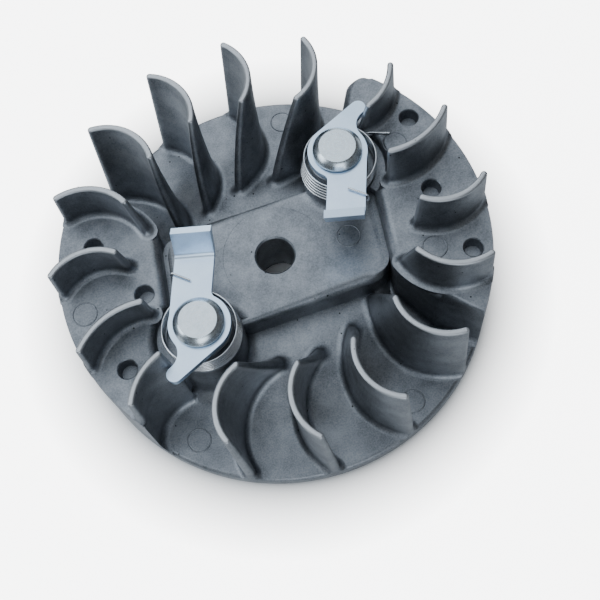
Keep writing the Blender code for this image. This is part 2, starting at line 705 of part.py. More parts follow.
def build():
    """All pieces of the flywheel."""
    clear_scene()
    parts = new_collection("flywheel")
    tools = new_collection("pawl_tools")
    cast = metal("cast_aluminium", (0.36, 0.37, 0.39), 0.5)
    zinc = metal("zinc_plated_steel", (0.72, 0.76, 0.82), 0.28)
    wire = metal("spring_steel", (0.62, 0.64, 0.66), 0.3)
    steel = metal("pole_steel", (0.3, 0.3, 0.31), 0.45)
    magnet = metal("magnet", (0.12, 0.12, 0.13), 0.5)
    add_casting(parts, cast)
    add_inserts(parts, steel, magnet)
    for half_turns, tag in enumerate("ab"):
        holder = bpy.data.objects.new(f"pivot_{tag}", None)
        parts.objects.link(holder)
        holder.location = (*pivot(half_turns), 0.0)
        holder.rotation_euler.z = math.pi * half_turns
        pin = add_mesh(f"pawl_pin_{tag}", pin_mesh(f"pawl_pin_{tag}"), parts, zinc)
        pin.parent = holder
        add_pawl(f"starter_pawl_{tag}", parts, tools, zinc, holder)
        add_spring(f"pawl_spring_{tag}", parts, wire, holder)
    shade(parts)


build()
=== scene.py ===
"""Looks of a fan flywheel: filleted casting, plated pawls and pins, wound springs, and the studio."""

import json
import math

import bmesh
import bpy
from mathutils import Matrix, Vector


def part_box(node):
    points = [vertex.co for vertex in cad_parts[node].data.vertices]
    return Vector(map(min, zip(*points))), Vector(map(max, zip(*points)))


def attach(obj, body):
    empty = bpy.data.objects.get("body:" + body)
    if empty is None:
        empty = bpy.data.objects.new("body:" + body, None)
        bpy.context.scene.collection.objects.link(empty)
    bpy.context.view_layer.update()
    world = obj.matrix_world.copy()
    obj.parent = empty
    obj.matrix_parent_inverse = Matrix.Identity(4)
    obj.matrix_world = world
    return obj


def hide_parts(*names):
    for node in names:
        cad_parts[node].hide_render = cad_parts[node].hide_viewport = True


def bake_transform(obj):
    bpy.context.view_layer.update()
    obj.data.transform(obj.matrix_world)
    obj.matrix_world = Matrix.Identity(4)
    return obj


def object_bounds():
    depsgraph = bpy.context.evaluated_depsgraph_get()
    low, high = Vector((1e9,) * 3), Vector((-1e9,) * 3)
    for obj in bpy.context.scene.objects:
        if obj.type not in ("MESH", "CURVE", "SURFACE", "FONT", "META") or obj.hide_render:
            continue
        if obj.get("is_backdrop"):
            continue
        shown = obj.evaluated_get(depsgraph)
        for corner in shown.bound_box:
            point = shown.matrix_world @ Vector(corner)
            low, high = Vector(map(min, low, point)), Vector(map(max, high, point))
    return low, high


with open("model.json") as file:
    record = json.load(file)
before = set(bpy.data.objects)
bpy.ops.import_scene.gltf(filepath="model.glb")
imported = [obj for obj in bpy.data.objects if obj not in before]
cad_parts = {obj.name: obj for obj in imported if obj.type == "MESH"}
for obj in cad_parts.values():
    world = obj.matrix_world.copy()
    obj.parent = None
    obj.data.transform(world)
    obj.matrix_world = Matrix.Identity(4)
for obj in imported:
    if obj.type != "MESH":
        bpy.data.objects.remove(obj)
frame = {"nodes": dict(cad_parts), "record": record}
CAD_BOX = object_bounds()
MM = 0.001

# Levels and radii that the frame holds
CASTING_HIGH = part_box("flywheel_casting")[1]
RIM_RADIUS = CASTING_HIGH.x
BLADE_TOP = CASTING_HIGH.z
PAWL_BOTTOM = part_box("starter_pawl_a")[0].z
PIN_BOTTOM, PIN_TOP = (corner.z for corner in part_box("pawl_pin_a"))
INSERT_BOTTOM, INSERT_TOP = (corner.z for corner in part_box("magnet"))
PIVOTS = [Vector(joint["pos_m"]) for joint in frame["record"]["behaviour"]["joints"]]

# Levels of the casting
FLOOR_TOP = 4.2 * MM
HUB_TOP = 18.7 * MM
PAD_TOP = 24.0 * MM

# Floor disc
RIM_ROUND = 1.0 * MM
RECESS_INNER = 18.0 * MM
RECESS_OUTER = 45.0 * MM
RECESS_DEPTH = 2.0 * MM
FLOOR_RISE = 6.8 * MM
FLOOR_RISE_INNER = 20.0 * MM
FLOOR_RISE_OUTER = 42.0 * MM
FLOOR_RISE_STEPS = 12
ROUND_STEPS = 6
DISC_SEGMENTS = 180

# Crank bore
BORE_TOP_RADIUS = 4.6 * MM
BORE_BOTTOM_RADIUS = 5.8 * MM
BORE_CHAMFER = 0.45 * MM
KEYWAY_WIDTH = 2.6 * MM
KEYWAY_DEPTH = 1.3 * MM
KEYWAY_HEIGHT = 12.0 * MM
NUT_LAND_RADIUS = 12.6 * MM
NUT_LAND_DEPTH = 0.05 * MM
CUT_PAST = 1.0 * MM

# Hub bar
BAR_EDGE_LEFT = Vector((-17.0 * MM, 12.2 * MM))
BAR_EDGE_RIGHT = Vector((10.0 * MM, 16.0 * MM))
BAR_END = 27.0 * MM
BAR_CORNER_RADIUS = 7.0 * MM
BAR_FILLET = 3.0 * MM
BAR_CROWN = 3.0 * MM

# Pads
PAD_RADIUS = RIM_RADIUS - 0.05 * MM
PAD_INNER = 26.6 * MM
PAD_FOOT_ANGLE = -31.0
PAD_FOOT_CORNER = 5.0 * MM
PAD_FOOT_INNER = -11.5 * MM
PAD_FOOT_ELBOW = 11.3 * MM
PAD_HEAD_ANGLE = 58.2
PAD_HEAD_CORNER = 4.0 * MM
PAD_HEAD_COVER = 0.4 * MM
PAD_FILLET = 2.0 * MM
PAD_CROWN = 2.4 * MM
RIM_EDGE = 0.25 * MM
BAY_END_ANGLE = 78.0
PAD_HOLE_RADIUS = 2.25 * MM
PAD_HOLE_DEPTH = 3.6 * MM
PAD_HOLE_EDGE = 0.25 * MM
PAD_HOLES = (
    (4.6 * MM, 34.7),
    (11.4 * MM, 9.7),
    (4.9 * MM, -12.9),
    (8.6 * MM, 168.0),
    (19.5 * MM, 190.1),
    (7.4 * MM, 211.4),
)

# Inserts in the pads
INSERT_INNER = 37.5 * MM
INSERT_ANGLE = 10.9
INSERT_HALF_ANGLE = 28.5
COUNTERWEIGHT_INNER = 39.0 * MM
COUNTERWEIGHT_HALF_ANGLE = 24.0
BED_GAP = 0.12 * MM

# Fan: trim turns a blade's tip, flare its root's outer end; top and root give the inner end's radius, its
# turn from the tip and the bulge
BLADES_PER_HALF = 8
FIRST_BLADE_ANGLE = 137.05
BLADE_TIP_RADIUS = RIM_RADIUS - 1.6 * MM
BLADE_ROOT_RADIUS = RIM_RADIUS - 1.3 * MM
BLADE_TOP_THICKNESS = 1.5 * MM
BLADE_DRAFT = 0.035
BLADE_FILLET = 1.6 * MM
BLADE_CROWN = 0.55 * MM
BLADE_SINK = 0.8 * MM
# Painted highlight down the blades' inner end edges: how far it reaches and how strongly it lightens them
HIGHLIGHT_REACH = 0.1 * MM
INNER_END_HIGHLIGHT = 0.5
BLADE_ARC_STEPS = 18
BLADE_END_STEPS = 6
TALL_BLADE = dict(trim=0.6, top=(33.6, -2.0, 3.4), root=(24.3, 11.5, 6.3), flare=1.9, base=FLOOR_TOP)
END_BLADE = dict(trim=-2.7, top=(38.1, -2.9, 1.3), root=(37.7, 0.2, 2.2), flare=0.0, base=PAD_TOP)
HALF_FAN = (
    TALL_BLADE,
    TALL_BLADE,
    TALL_BLADE,
    TALL_BLADE,
    END_BLADE,
    dict(trim=0.0, top=(33.2, -2.8, 2.2), root=(32.4, -4.9, 3.2), flare=0.0, base=PAD_TOP),
    dict(trim=0.0, top=(35.2, -3.5, 2.8), root=(34.0, -5.3, 3.2), flare=0.0, base=PAD_TOP),
    dict(trim=0.1, top=(34.1, -2.3, 2.8), root=(30.4, 0.9, 4.2), flare=0.0, base=PAD_TOP),
)

# Ejector-pin marks, as radius, angle and level
MARK_RADIUS = 2.85 * MM
MARK_LINE = 0.16 * MM
EJECTOR_MARKS = (
    (39.6 * MM, 31.4, PAD_TOP),
    (37.8 * MM, -12.9, PAD_TOP),
    (46.6 * MM, 189.5, PAD_TOP),
    (45.7 * MM, 79.5, FLOOR_TOP),
    (45.8 * MM, 234.5, FLOOR_TOP),
    (45.9 * MM, -56.4, FLOOR_TOP),
    (18.2 * MM, 3.8, HUB_TOP),
)

# Pawls
PAWL_THICKNESS = 1.8 * MM
PAWL_EDGE = 0.16 * MM
EYE_RADIUS = 7.1 * MM
EYE_HOLE_RADIUS = 3.6 * MM
ARM_ANGLE = -103.3
ARM_OUTER_EDGE = 6.95 * MM
ARM_WIDTH = 9.05 * MM
ARM_LENGTH = 15.2 * MM
ARM_NECK_RADIUS = 1.6 * MM
LIP_LENGTH = 6.6 * MM
LIP_ANGLE = 72.0
LIP_SKEW = 6.0
LIP_BEND_RADIUS = 1.6 * MM
LIP_BEND_STEPS = 8
TAIL_ANGLE = 56.2
TAIL_REACH = 12.8 * MM
TAIL_TIP_RADIUS = 1.8 * MM
TAIL_NECK_RADIUS = 4.1 * MM

# Pins
HEAD_HEIGHT = 2.2 * MM
HEAD_RADIUS = 5.85 * MM
HEAD_CHAMFER = 1.5 * MM
HEAD_DISH = 0.45
HEAD_EDGE = 0.15 * MM
SHOULDER_RADIUS = 3.5 * MM
SHANK_RADIUS = 2.5 * MM
SHANK_CHAMFER = 0.4 * MM

# Springs
WIRE_RADIUS = 0.3 * MM
DRAWN_WIRE_RADIUS = 0.24 * MM
FIT_GAP = 0.3 * MM
COIL_RADIUS = 8.6 * MM
COIL_SHIFT = 0.5 * MM
COIL_BOTTOM = 23.33 * MM
COIL_TURNS = 5
COIL_STEPS = 40
COIL_SPREADS = ((1.5 * MM, 222.0), (0.7 * MM, 149.0))
FIXED_LEG_ANGLE = 75.6
FIXED_LEG_LENGTH = 11.5 * MM
FIXED_LEG_LEVEL = 4.4 * MM
HOOK_LEG_ANGLE = 236.0
HOOK_REACH = 0.8 * MM
HOOK_TIP_LENGTH = 4.4 * MM
HOOK_STEPS = 12

# Bosses under the pawls
BOSS_RADIUS = COIL_RADIUS - WIRE_RADIUS - COIL_SHIFT - 0.7 * MM
BOSS_TOP = PAWL_BOTTOM - FIT_GAP
BOSS_EDGE = 0.4 * MM
SEAT_RADIUS = COIL_RADIUS + WIRE_RADIUS + 0.1 * MM
SEAT_TOP = COIL_BOTTOM - WIRE_RADIUS - FIT_GAP
SEAT_ROUND = 0.7 * MM
SEAT_FILLET = 2.6 * MM
SEAT_STEPS = 8
BAY_RADIUS = SEAT_RADIUS + 2.3 * MM
BAY_WEB_TOP = SEAT_TOP - 1.2 * MM
BAY_WEB_ANGLES = ((-46.0, 66.0), (-46.0, 46.0))

# Camera of the photograph: it looks at a point on the plane of the blade tops
CAMERA_ELEVATION = 68.25
CAMERA_ROLL = -11.39
CAMERA_DISTANCE = 219.2 * MM
CAMERA_TARGET = Vector((3.72 * MM, -19.57 * MM, BLADE_TOP))
CAMERA_LENS = 60.6

# Studio: each light has a place, a size and a power
STUDIO_LIGHTS = {
    "overhead_softbox": ((-0.22, 0.22, 0.85), 1.1, 6.4),
    "left_softbox": ((-0.75, 0.0, 0.45), 0.45, 2.3),
    "front_softbox": ((0.0, -0.75, 0.42), 0.5, 2.6),
    "back_softbox": ((0.1, 0.8, 0.42), 0.5, 1.8),
}
LIGHT_COLOR = (0.86, 0.94, 1.0)
SURROUND_STRENGTH = 0.13
FLOOR_REACH = 3.0
# Floor glow is seen only by the camera; it rises from nothing at the rim to full at its reach, and the dimmer
# ring between is a painted contact shadow
FLOOR_GLOW = 6.0
PAINTED_SHADOW_REACH = 1.35 * RIM_RADIUS


def polar(radius, degrees):
    """Point in the plane at a radius and an angle from +X."""
    return Vector((radius * math.cos(math.radians(degrees)), radius * math.sin(math.radians(degrees))))


def arc(center, radius, start, end, steps):
    """Points from one angle to another on a circle, both ends included."""
    return [center + polar(radius, start + (end - start) * i / steps) for i in range(steps + 1)]


def rounded(before, corner, after, radius, steps=10):
    """Arc that rounds the corner between two straight edges."""
    to_before = (before - corner).normalized()
    to_after = (after - corner).normalized()
    half = to_before.angle(to_after) / 2
    center = corner + (to_before + to_after).normalized() * (radius / math.sin(half))
    first = corner + to_before * (radius / math.tan(half)) - center
    last = corner + to_after * (radius / math.tan(half)) - center
    start = math.degrees(math.atan2(first.y, first.x))
    sweep = math.degrees(math.atan2(first.x * last.y - first.y * last.x, first.dot(last)))
    return arc(center, radius, start, start + sweep, steps)


def quarter(steps):
    """Sines and cosines along a quarter turn, both ends included."""
    swings = [math.pi / 2 * i / steps for i in range(steps + 1)]
    return [(math.sin(swing), math.cos(swing)) for swing in swings]


def half_turned(points, half_turns):
    """Outline moved round the shaft by a number of half turns."""
    return [-p for p in points] if half_turns % 2 else list(points)


def offset_outline(points, distances):
    """Closed outline moved outwards point by point, or inwards for negative distances."""
    area = sum(p.x * q.y - p.y * q.x for p, q in zip(points, points[1:] + points[:1]))
    sign = 1 if area > 0 else -1
    moved = []
    for i, point in enumerate(points):
        before = (point - points[i - 1]).normalized()
        after = (points[(i + 1) % len(points)] - point).normalized()
        normal = Vector((before.y + after.y, -before.x - after.x)) * sign
        if normal.length < 1e-9:
            normal = Vector((before.y, -before.x)) * sign
        normal.normalize()
        stretch = max(0.5, abs(normal.dot(Vector((before.y, -before.x)))))
        moved.append(point + normal * (distances[i] / stretch))
    return moved


def eased(value, low, high):
    """Share from 0 to 1, with soft ends, of a value's way from a low to a high mark."""
    share = min(1.0, max(0.0, (value - low) / (high - low)))
    return share * share * (3 - 2 * share)


def floor_lift(radius):
    """Height by which the floor has risen above its outer ring at a radius."""
    return FLOOR_RISE * (1 - eased(radius, FLOOR_RISE_INNER, FLOOR_RISE_OUTER))


def on_floor(mesh, top):
    """Mesh whose foot is lifted with the rising floor, less and less towards its top."""
    for vert in mesh.vertices:
        share = min(1.0, max(0.0, (top - vert.co.z) / (top - FLOOR_TOP)))
        vert.co.z += floor_lift(Vector(vert.co[:2]).length) * share
    return mesh


def within_rim(points, limit):
    """Points kept inside a radius."""
    return [p if p.length <= limit else p * (limit / p.length) for p in points]


def mesh_from_rings(name, rings):
    """Closed body through a stack of matching rings, capped at both ends."""
    bm = bmesh.new()
    rows = [[bm.verts.new(p) for p in ring] for ring in rings]
    count = len(rows[0])
    for low, high in zip(rows, rows[1:]):
        for i in range(count):
            j = (i + 1) % count
            bm.faces.new((low[i], low[j], high[j], high[i]))
    bm.faces.new(rows[0])
    bm.faces.new(rows[-1])
    bmesh.ops.recalc_face_normals(bm, faces=bm.faces)
    bmesh.ops.triangulate(bm, faces=[f for f in bm.faces if len(f.verts) > 4])
    mesh = bpy.data.meshes.new(name)
    bm.to_mesh(mesh)
    bm.free()
    return mesh


def turned_mesh(name, profile, segments, center=Vector((0.0, 0.0))):
    """Profile of (radius, height) points turned about a vertical axis, closed at its ends on that axis."""
    bm = bmesh.new()
    rows = []
    for radius, height in profile:
        if radius == 0.0:
            rows.append([bm.verts.new((*center, height))])
        else:
            ring = arc(center, radius, 0, 360 * (segments - 1) / segments, segments - 1)
            rows.append([bm.verts.new((*p, height)) for p in ring])
    for first, second in zip(rows, rows[1:]):
        for i in range(segments):
            j = (i + 1) % segments
            if len(first) == 1:
                bm.faces.new((first[0], second[i], second[j]))
            elif len(second) == 1:
                bm.faces.new((first[i], first[j], second[0]))
            else:
                bm.faces.new((first[i], first[j], second[j], second[i]))
    bmesh.ops.recalc_face_normals(bm, faces=bm.faces)
    mesh = bpy.data.meshes.new(name)
    bm.to_mesh(mesh)
    bm.free()
    return mesh


def fillet_levels(base, top, fillet, crown, middles=3):
    """Heights and sideways growth of a body with a filleted foot and a rounded top edge."""
    levels = [(base - BLADE_SINK, fillet)]
    for sine, cosine in quarter(ROUND_STEPS):
        levels.append((base + fillet * (1 - cosine), fillet * (1 - sine)))
    for i in range(1, middles):
        levels.append((base + fillet + (top - crown - base - fillet) * i / middles, 0.0))
    for sine, cosine in quarter(ROUND_STEPS):
        levels.append((top - crown * (1 - sine), -crown * (1 - cosine)))
    return levels


def block_mesh(name, outline, squareness, base, top, fillet, crown):
    """Upright block with a filleted foot and a round top edge, which is left nearly square where asked."""
    rings = []
    for height, grow in fillet_levels(base, top, fillet, crown):
        edge = max(grow, -RIM_EDGE)
        plan = offset_outline(outline, [grow + (edge - grow) * share for share in squareness])
        rings.append([(*p, height) for p in within_rim(plan, PAD_RADIUS)])
    mesh = mesh_from_rings(name, rings)
    return on_floor(mesh, top) if base == FLOOR_TOP else mesh


def blade_plan(inner, outer, bulge, half_thickness, shift=0.0):
    """Ring round an arc that bulges clockwise, with round ends; a shift moves it to the bulging side."""
    chord = outer - inner
    along = chord.normalized()
    outward = Vector((along.y, -along.x))
    radius = (chord.length_squared / 4 + bulge * bulge) / (2 * bulge)
    center = (inner + outer) / 2 + outward * (bulge - radius)
    half = math.asin(chord.length / 2 / radius)
    radius += shift

    def place(swing, reach):
        return center + reach * (outward * math.cos(swing) + along * math.sin(swing))

    swings = [half * (2 * i / BLADE_ARC_STEPS - 1) for i in range(BLADE_ARC_STEPS + 1)]
    ring = [place(s, radius + half_thickness) for s in swings]
    for end in (1, -1):
        middle = place(half * end, radius)
        ray = (middle - center).normalized()
        ahead = (along * math.cos(half) - outward * (end * math.sin(half))) * end
        for i in range(1, BLADE_END_STEPS):
            turn = math.pi * i / BLADE_END_STEPS
            ring.append(middle + half_thickness * (ray * (end * math.cos(turn)) + ahead * math.sin(turn)))
        if end == 1:
            ring.extend(place(s, radius - half_thickness) for s in reversed(swings))
    return ring


def blade_angle(blade, index, half_turns):
    """Angle of a blade's tip."""
    return FIRST_BLADE_ANGLE - index * 180 / BLADES_PER_HALF + blade["trim"] + 180 * half_turns


def blade_half(height):
    """Half of a blade's thickness, which grows downwards by its draft."""
    return (BLADE_TOP_THICKNESS + BLADE_DRAFT * (BLADE_TOP - height)) / 2


def blade_section(blade, angle, height):
    """Inner end, outer end and bulge of a blade at a height; below its base it keeps its root."""
    base = blade["base"] - BLADE_SINK
    rise = max(0.0, (height - base) / (BLADE_TOP - base))
    reach, turn, bulge = (low + (high - low) * rise for low, high in zip(blade["root"], blade["top"]))
    outer = BLADE_ROOT_RADIUS + (BLADE_TIP_RADIUS - BLADE_ROOT_RADIUS) * rise
    return polar(reach * MM, angle + turn), polar(outer, angle + blade["flare"] * (1 - rise)), bulge * MM


def blade_mesh(name, blade, angle, one_sided):
    """Curved blade with a filleted foot and a round top; a one-sided fillet leaves the hollow face plain."""
    rings = []
    for height, grow in fillet_levels(blade["base"], BLADE_TOP, BLADE_FILLET, BLADE_CROWN, middles=6):
        half = blade_half(height) + grow
        shift = 0.0
        if one_sided and grow > 0:
            half -= grow / 2
            shift = grow / 2
        plan = blade_plan(*blade_section(blade, angle, height), half, shift)
        rings.append([(*p, height) for p in within_rim(plan, PAD_RADIUS)])
    mesh = mesh_from_rings(name, rings)
    return on_floor(mesh, BLADE_TOP) if blade["base"] == FLOOR_TOP else mesh


def end_wall_mesh(angle):
    """Wall that carries the hollow face of the second pad's end blade down to the floor."""
    rings = []
    for height, grow in fillet_levels(FLOOR_TOP, PAD_TOP, BLADE_FILLET, 0.0):
        inner, outer, bulge = blade_section(END_BLADE, angle, PAD_TOP)
        outer = outer.normalized() * PAD_RADIUS
        plan = blade_plan(inner, outer, bulge, blade_half(PAD_TOP) + grow)
        rings.append([(*p, height) for p in within_rim(plan, PAD_RADIUS)])
    return on_floor(mesh_from_rings("end_wall", rings[:-1]), PAD_TOP)


def disc_mesh():
    """Floor disc with rounded rim edges and the ring sunk in its underside."""
    profile = [(0.0, FLOOR_TOP + FLOOR_RISE)]
    for i in range(FLOOR_RISE_STEPS + 1):
        radius = FLOOR_RISE_INNER + (FLOOR_RISE_OUTER - FLOOR_RISE_INNER) * i / FLOOR_RISE_STEPS
        profile.append((radius, FLOOR_TOP + floor_lift(radius)))
    for sine, cosine in quarter(ROUND_STEPS):
        profile.append((RIM_RADIUS - RIM_ROUND * (1 - sine), FLOOR_TOP - RIM_ROUND * (1 - cosine)))
    for sine, cosine in quarter(ROUND_STEPS):
        profile.append((RIM_RADIUS - RIM_ROUND * (1 - cosine), RIM_ROUND * (1 - sine)))
    profile += [
        (RECESS_OUTER, 0.0),
        (RECESS_OUTER - RECESS_DEPTH / 2, RECESS_DEPTH),
        (RECESS_INNER + RECESS_DEPTH / 2, RECESS_DEPTH),
        (RECESS_INNER, 0.0),
        (0.0, 0.0),
    ]
    return turned_mesh("flywheel_body", profile, DISC_SEGMENTS)


def bar_outline():
    """Plan of the hub bar."""
    slope = (BAR_EDGE_RIGHT.y - BAR_EDGE_LEFT.y) / (BAR_EDGE_RIGHT.x - BAR_EDGE_LEFT.x)
    end_left = Vector((-BAR_END, BAR_EDGE_LEFT.y - slope * (BAR_EDGE_LEFT.x + BAR_END)))
    end_right = Vector((BAR_END, BAR_EDGE_RIGHT.y + slope * (BAR_END - BAR_EDGE_RIGHT.x)))
    half = [end_right] + rounded(end_right, end_left, Vector((-BAR_END, 0.0)), BAR_CORNER_RADIUS)
    return half + half_turned(half, 1)


def pad_outline(half_turns):
    """Plan of a pad; the first runs past its end blade, the second stops under it."""
    pivot = Vector(PIVOTS[0][:2])
    rim_foot = polar(PAD_RADIUS, PAD_FOOT_ANGLE)
    inner_foot = Vector((PAD_INNER, PAD_FOOT_INNER))
    elbow = polar(PAD_RADIUS - PAD_FOOT_ELBOW, PAD_FOOT_ANGLE)
    foot = [rim_foot] + rounded(rim_foot, elbow, inner_foot, PAD_FOOT_CORNER)
    foot += rounded(elbow, inner_foot, Vector((PAD_INNER, 0.0)), PAD_FOOT_CORNER)
    if half_turns:
        last = blade_angle(END_BLADE, HALF_FAN.index(END_BLADE), 0)
        ring = blade_plan(*blade_section(END_BLADE, last, PAD_TOP), blade_half(PAD_TOP) - PAD_HEAD_COVER)
        hollow_face = BLADE_ARC_STEPS + BLADE_END_STEPS
        head = list(reversed(ring[hollow_face:hollow_face + BLADE_ARC_STEPS + 1]))
        from_pivot = head[0] - pivot
        bay_end = math.degrees(math.atan2(from_pivot.y, from_pivot.x)) - 2
        along = (head[-1] - head[-2]).normalized()
        reach = head[-1].dot(along)
        to_rim = math.sqrt(reach ** 2 + PAD_RADIUS ** 2 - head[-1].length_squared) - reach
        corner = head[-1] + along * to_rim
        head.append(corner)
        last = math.degrees(math.atan2(corner.y, corner.x))
    else:
        rim = polar(PAD_RADIUS, PAD_HEAD_ANGLE)
        bay_end = BAY_END_ANGLE
        wall = pivot + polar(BAY_RADIUS, bay_end)
        head = rounded(wall, rim, polar(PAD_RADIUS, PAD_HEAD_ANGLE - 15), PAD_HEAD_CORNER)
        last = math.degrees(math.atan2(head[-1].y, head[-1].x))
    bay_start = -math.degrees(math.acos((PAD_INNER - pivot.x) / BAY_RADIUS))
    bay = arc(pivot, BAY_RADIUS, bay_start, bay_end, 28)
    rim_arc = arc(Vector((0.0, 0.0)), PAD_RADIUS, last - 1, PAD_FOOT_ANGLE + 1, 60)
    return half_turned(foot + bay + head + rim_arc, half_turns)


def boss_mesh(half_turns):
    """Pawl boss and spring seat in one turned body that stands on the floor."""
    profile = [(0.0, BOSS_TOP), (BOSS_RADIUS - BOSS_EDGE, BOSS_TOP), (BOSS_RADIUS, BOSS_TOP - BOSS_EDGE)]
    profile.append((BOSS_RADIUS, SEAT_TOP))
    for sine, cosine in quarter(ROUND_STEPS - 1):
        profile.append((SEAT_RADIUS - SEAT_ROUND * (1 - sine), SEAT_TOP - SEAT_ROUND * (1 - cosine)))
    for sine, cosine in quarter(SEAT_STEPS):
        profile.append((SEAT_RADIUS + BAR_FILLET * (1 - cosine), FLOOR_TOP + BAR_FILLET * (1 - sine)))
    profile += [(SEAT_RADIUS + BAR_FILLET, FLOOR_TOP - BLADE_SINK), (0.0, FLOOR_TOP - BLADE_SINK)]
    boss = turned_mesh(f"boss_{half_turns}", profile, 96, Vector(PIVOTS[half_turns][:2]))
    return on_floor(boss, SEAT_TOP)


def bay_web_mesh(half_turns):
    """Web that closes the narrow gap between a boss and the bay of its pad below the spring."""
    pivot = Vector(PIVOTS[0][:2])
    first, last = BAY_WEB_ANGLES[half_turns]
    plan = arc(pivot, BAY_RADIUS + BLADE_SINK, first, last, 24)
    plan += arc(pivot, SEAT_RADIUS - BLADE_SINK, last, first, 24)
    return prism_mesh(f"bay_web_{half_turns}", half_turned(plan, half_turns), FLOOR_TOP, BAY_WEB_TOP)


def bar_keep():
    """Upright prism over the top of the hub bar."""
    plan = bar_outline()
    return prism_mesh("bar_keep", offset_outline(plan, [-BAR_CROWN / 2] * len(plan)), FLOOR_TOP, BLADE_TOP)


def boss_foot_mesh(half_turns):
    """Fillet between a boss and the top of the hub bar, kept to the bar."""
    top = HUB_TOP + SEAT_FILLET
    profile = [(0.0, top), (SEAT_RADIUS, top)]
    for sine, cosine in quarter(SEAT_STEPS)[1:]:
        profile.append((SEAT_RADIUS + SEAT_FILLET * (1 - cosine), HUB_TOP + SEAT_FILLET * (1 - sine)))
    profile += [(SEAT_RADIUS + SEAT_FILLET, HUB_TOP - BLADE_SINK), (0.0, HUB_TOP - BLADE_SINK)]
    foot = turned_mesh(f"boss_foot_{half_turns}", profile, 96, Vector(PIVOTS[half_turns][:2]))
    return combined(foot, bar_keep(), "INTERSECT")


def pad_foot_mesh(half_turns):
    """Fillet between the hub bar's top and the wall of a pad, kept to the bar."""
    plan = pad_outline(half_turns)
    top = HUB_TOP + 2 * SEAT_FILLET
    foot = block_mesh(f"pad_foot_{half_turns}", plan, [0.0] * len(plan), HUB_TOP, top, SEAT_FILLET, PAD_CROWN)
    return combined(foot, bar_keep(), "INTERSECT")


def sector_plan(inner, outer, middle, half_angle):
    """Ring sector in plan."""
    origin = Vector((0.0, 0.0))
    points = arc(origin, outer, middle - half_angle, middle + half_angle, 24)
    return points + arc(origin, inner, middle + half_angle, middle - half_angle, 24)


def prism_mesh(name, outline, bottom, top):
    """Plain upright prism."""
    return mesh_from_rings(name, [[(*p, z) for p in outline] for z in (bottom, top)])


def casting_cutters():
    """Bore, keyway, nut land, pad holes, pin holes and beds of the inserts."""
    bore = [
        (0.0, HUB_TOP + CUT_PAST),
        (BORE_TOP_RADIUS + BORE_CHAMFER + CUT_PAST, HUB_TOP + CUT_PAST),
        (BORE_TOP_RADIUS, HUB_TOP - BORE_CHAMFER),
        (BORE_BOTTOM_RADIUS, BORE_CHAMFER),
        (BORE_BOTTOM_RADIUS + BORE_CHAMFER + CUT_PAST, -CUT_PAST),
        (0.0, -CUT_PAST),
    ]
    yield turned_mesh("bore", bore, 72)
    reach = BORE_BOTTOM_RADIUS + KEYWAY_DEPTH
    half = KEYWAY_WIDTH / 2
    key = [Vector((0.0, -half)), Vector((reach, -half)), Vector((reach, half)), Vector((0.0, half))]
    yield prism_mesh("keyway", key, -CUT_PAST, KEYWAY_HEIGHT)
    land = [(0.0, HUB_TOP + CUT_PAST), (NUT_LAND_RADIUS + CUT_PAST, HUB_TOP + CUT_PAST)]
    land += [(NUT_LAND_RADIUS, HUB_TOP - NUT_LAND_DEPTH), (0.0, HUB_TOP - NUT_LAND_DEPTH)]
    yield turned_mesh("nut_land", land, 120)
    for index, (depth, angle) in enumerate(PAD_HOLES):
        mouth = PAD_HOLE_RADIUS + PAD_HOLE_EDGE + CUT_PAST
        hole = [(0.0, PAD_TOP + CUT_PAST), (mouth, PAD_TOP + CUT_PAST)]
        hole += [(PAD_HOLE_RADIUS, PAD_TOP - PAD_HOLE_EDGE)]
        hole += [(PAD_HOLE_RADIUS - PAD_HOLE_EDGE, PAD_TOP - PAD_HOLE_DEPTH), (0.0, PAD_TOP - PAD_HOLE_DEPTH)]
        yield turned_mesh(f"pad_hole_{index}", hole, 40, polar(RIM_RADIUS - depth, angle))
    for half_turns, pivot in enumerate(PIVOTS):
        hole = [(0.0, BOSS_TOP + CUT_PAST), (SHANK_RADIUS + FIT_GAP, BOSS_TOP + CUT_PAST)]
        hole += [(SHANK_RADIUS + FIT_GAP, PIN_BOTTOM - FIT_GAP), (0.0, PIN_BOTTOM - FIT_GAP)]
        yield turned_mesh(f"pin_hole_{half_turns}", hole, 40, Vector(pivot[:2]))
    beds = (
        ("bed_magnet", INSERT_INNER, INSERT_ANGLE, INSERT_HALF_ANGLE),
        ("bed_counterweight", COUNTERWEIGHT_INNER, INSERT_ANGLE + 180, COUNTERWEIGHT_HALF_ANGLE),
    )
    for name, inner, middle, half_angle in beds:
        slack = math.degrees(BED_GAP / RIM_RADIUS)
        plan = sector_plan(inner - BED_GAP, RIM_RADIUS + CUT_PAST, middle, half_angle + slack)
        yield prism_mesh(name, plan, INSERT_BOTTOM - BED_GAP, INSERT_TOP + BED_GAP)


def casting_additions():
    """Everything that stands on the floor disc."""
    plan = bar_outline()
    squareness = [eased(abs(p.x), PAD_INNER - BAR_CORNER_RADIUS, PAD_INNER) for p in plan]
    yield block_mesh("hub_bar", plan, squareness, FLOOR_TOP, HUB_TOP, BAR_FILLET, BAR_CROWN)
    for half_turns in range(2):
        plan = pad_outline(half_turns)
        squareness = [eased(p.length, PAD_RADIUS - PAD_HEAD_CORNER, PAD_RADIUS) for p in plan]
        yield block_mesh(f"pad_{half_turns}", plan, squareness, FLOOR_TOP, PAD_TOP, PAD_FILLET, PAD_CROWN)
        yield boss_mesh(half_turns)
        yield boss_foot_mesh(half_turns)
        yield bay_web_mesh(half_turns)
        yield pad_foot_mesh(half_turns)
        for index, blade in enumerate(HALF_FAN):
            angle = blade_angle(blade, index, half_turns)
            on_wall = blade is END_BLADE and half_turns == 1
            yield blade_mesh(f"blade_{half_turns}{index}", blade, angle, on_wall)
            if on_wall:
                yield end_wall_mesh(angle)


def link(name, mesh):
    """Object for a mesh, in the scene."""
    obj = bpy.data.objects.new(name, mesh)
    bpy.context.scene.collection.objects.link(obj)
    return obj


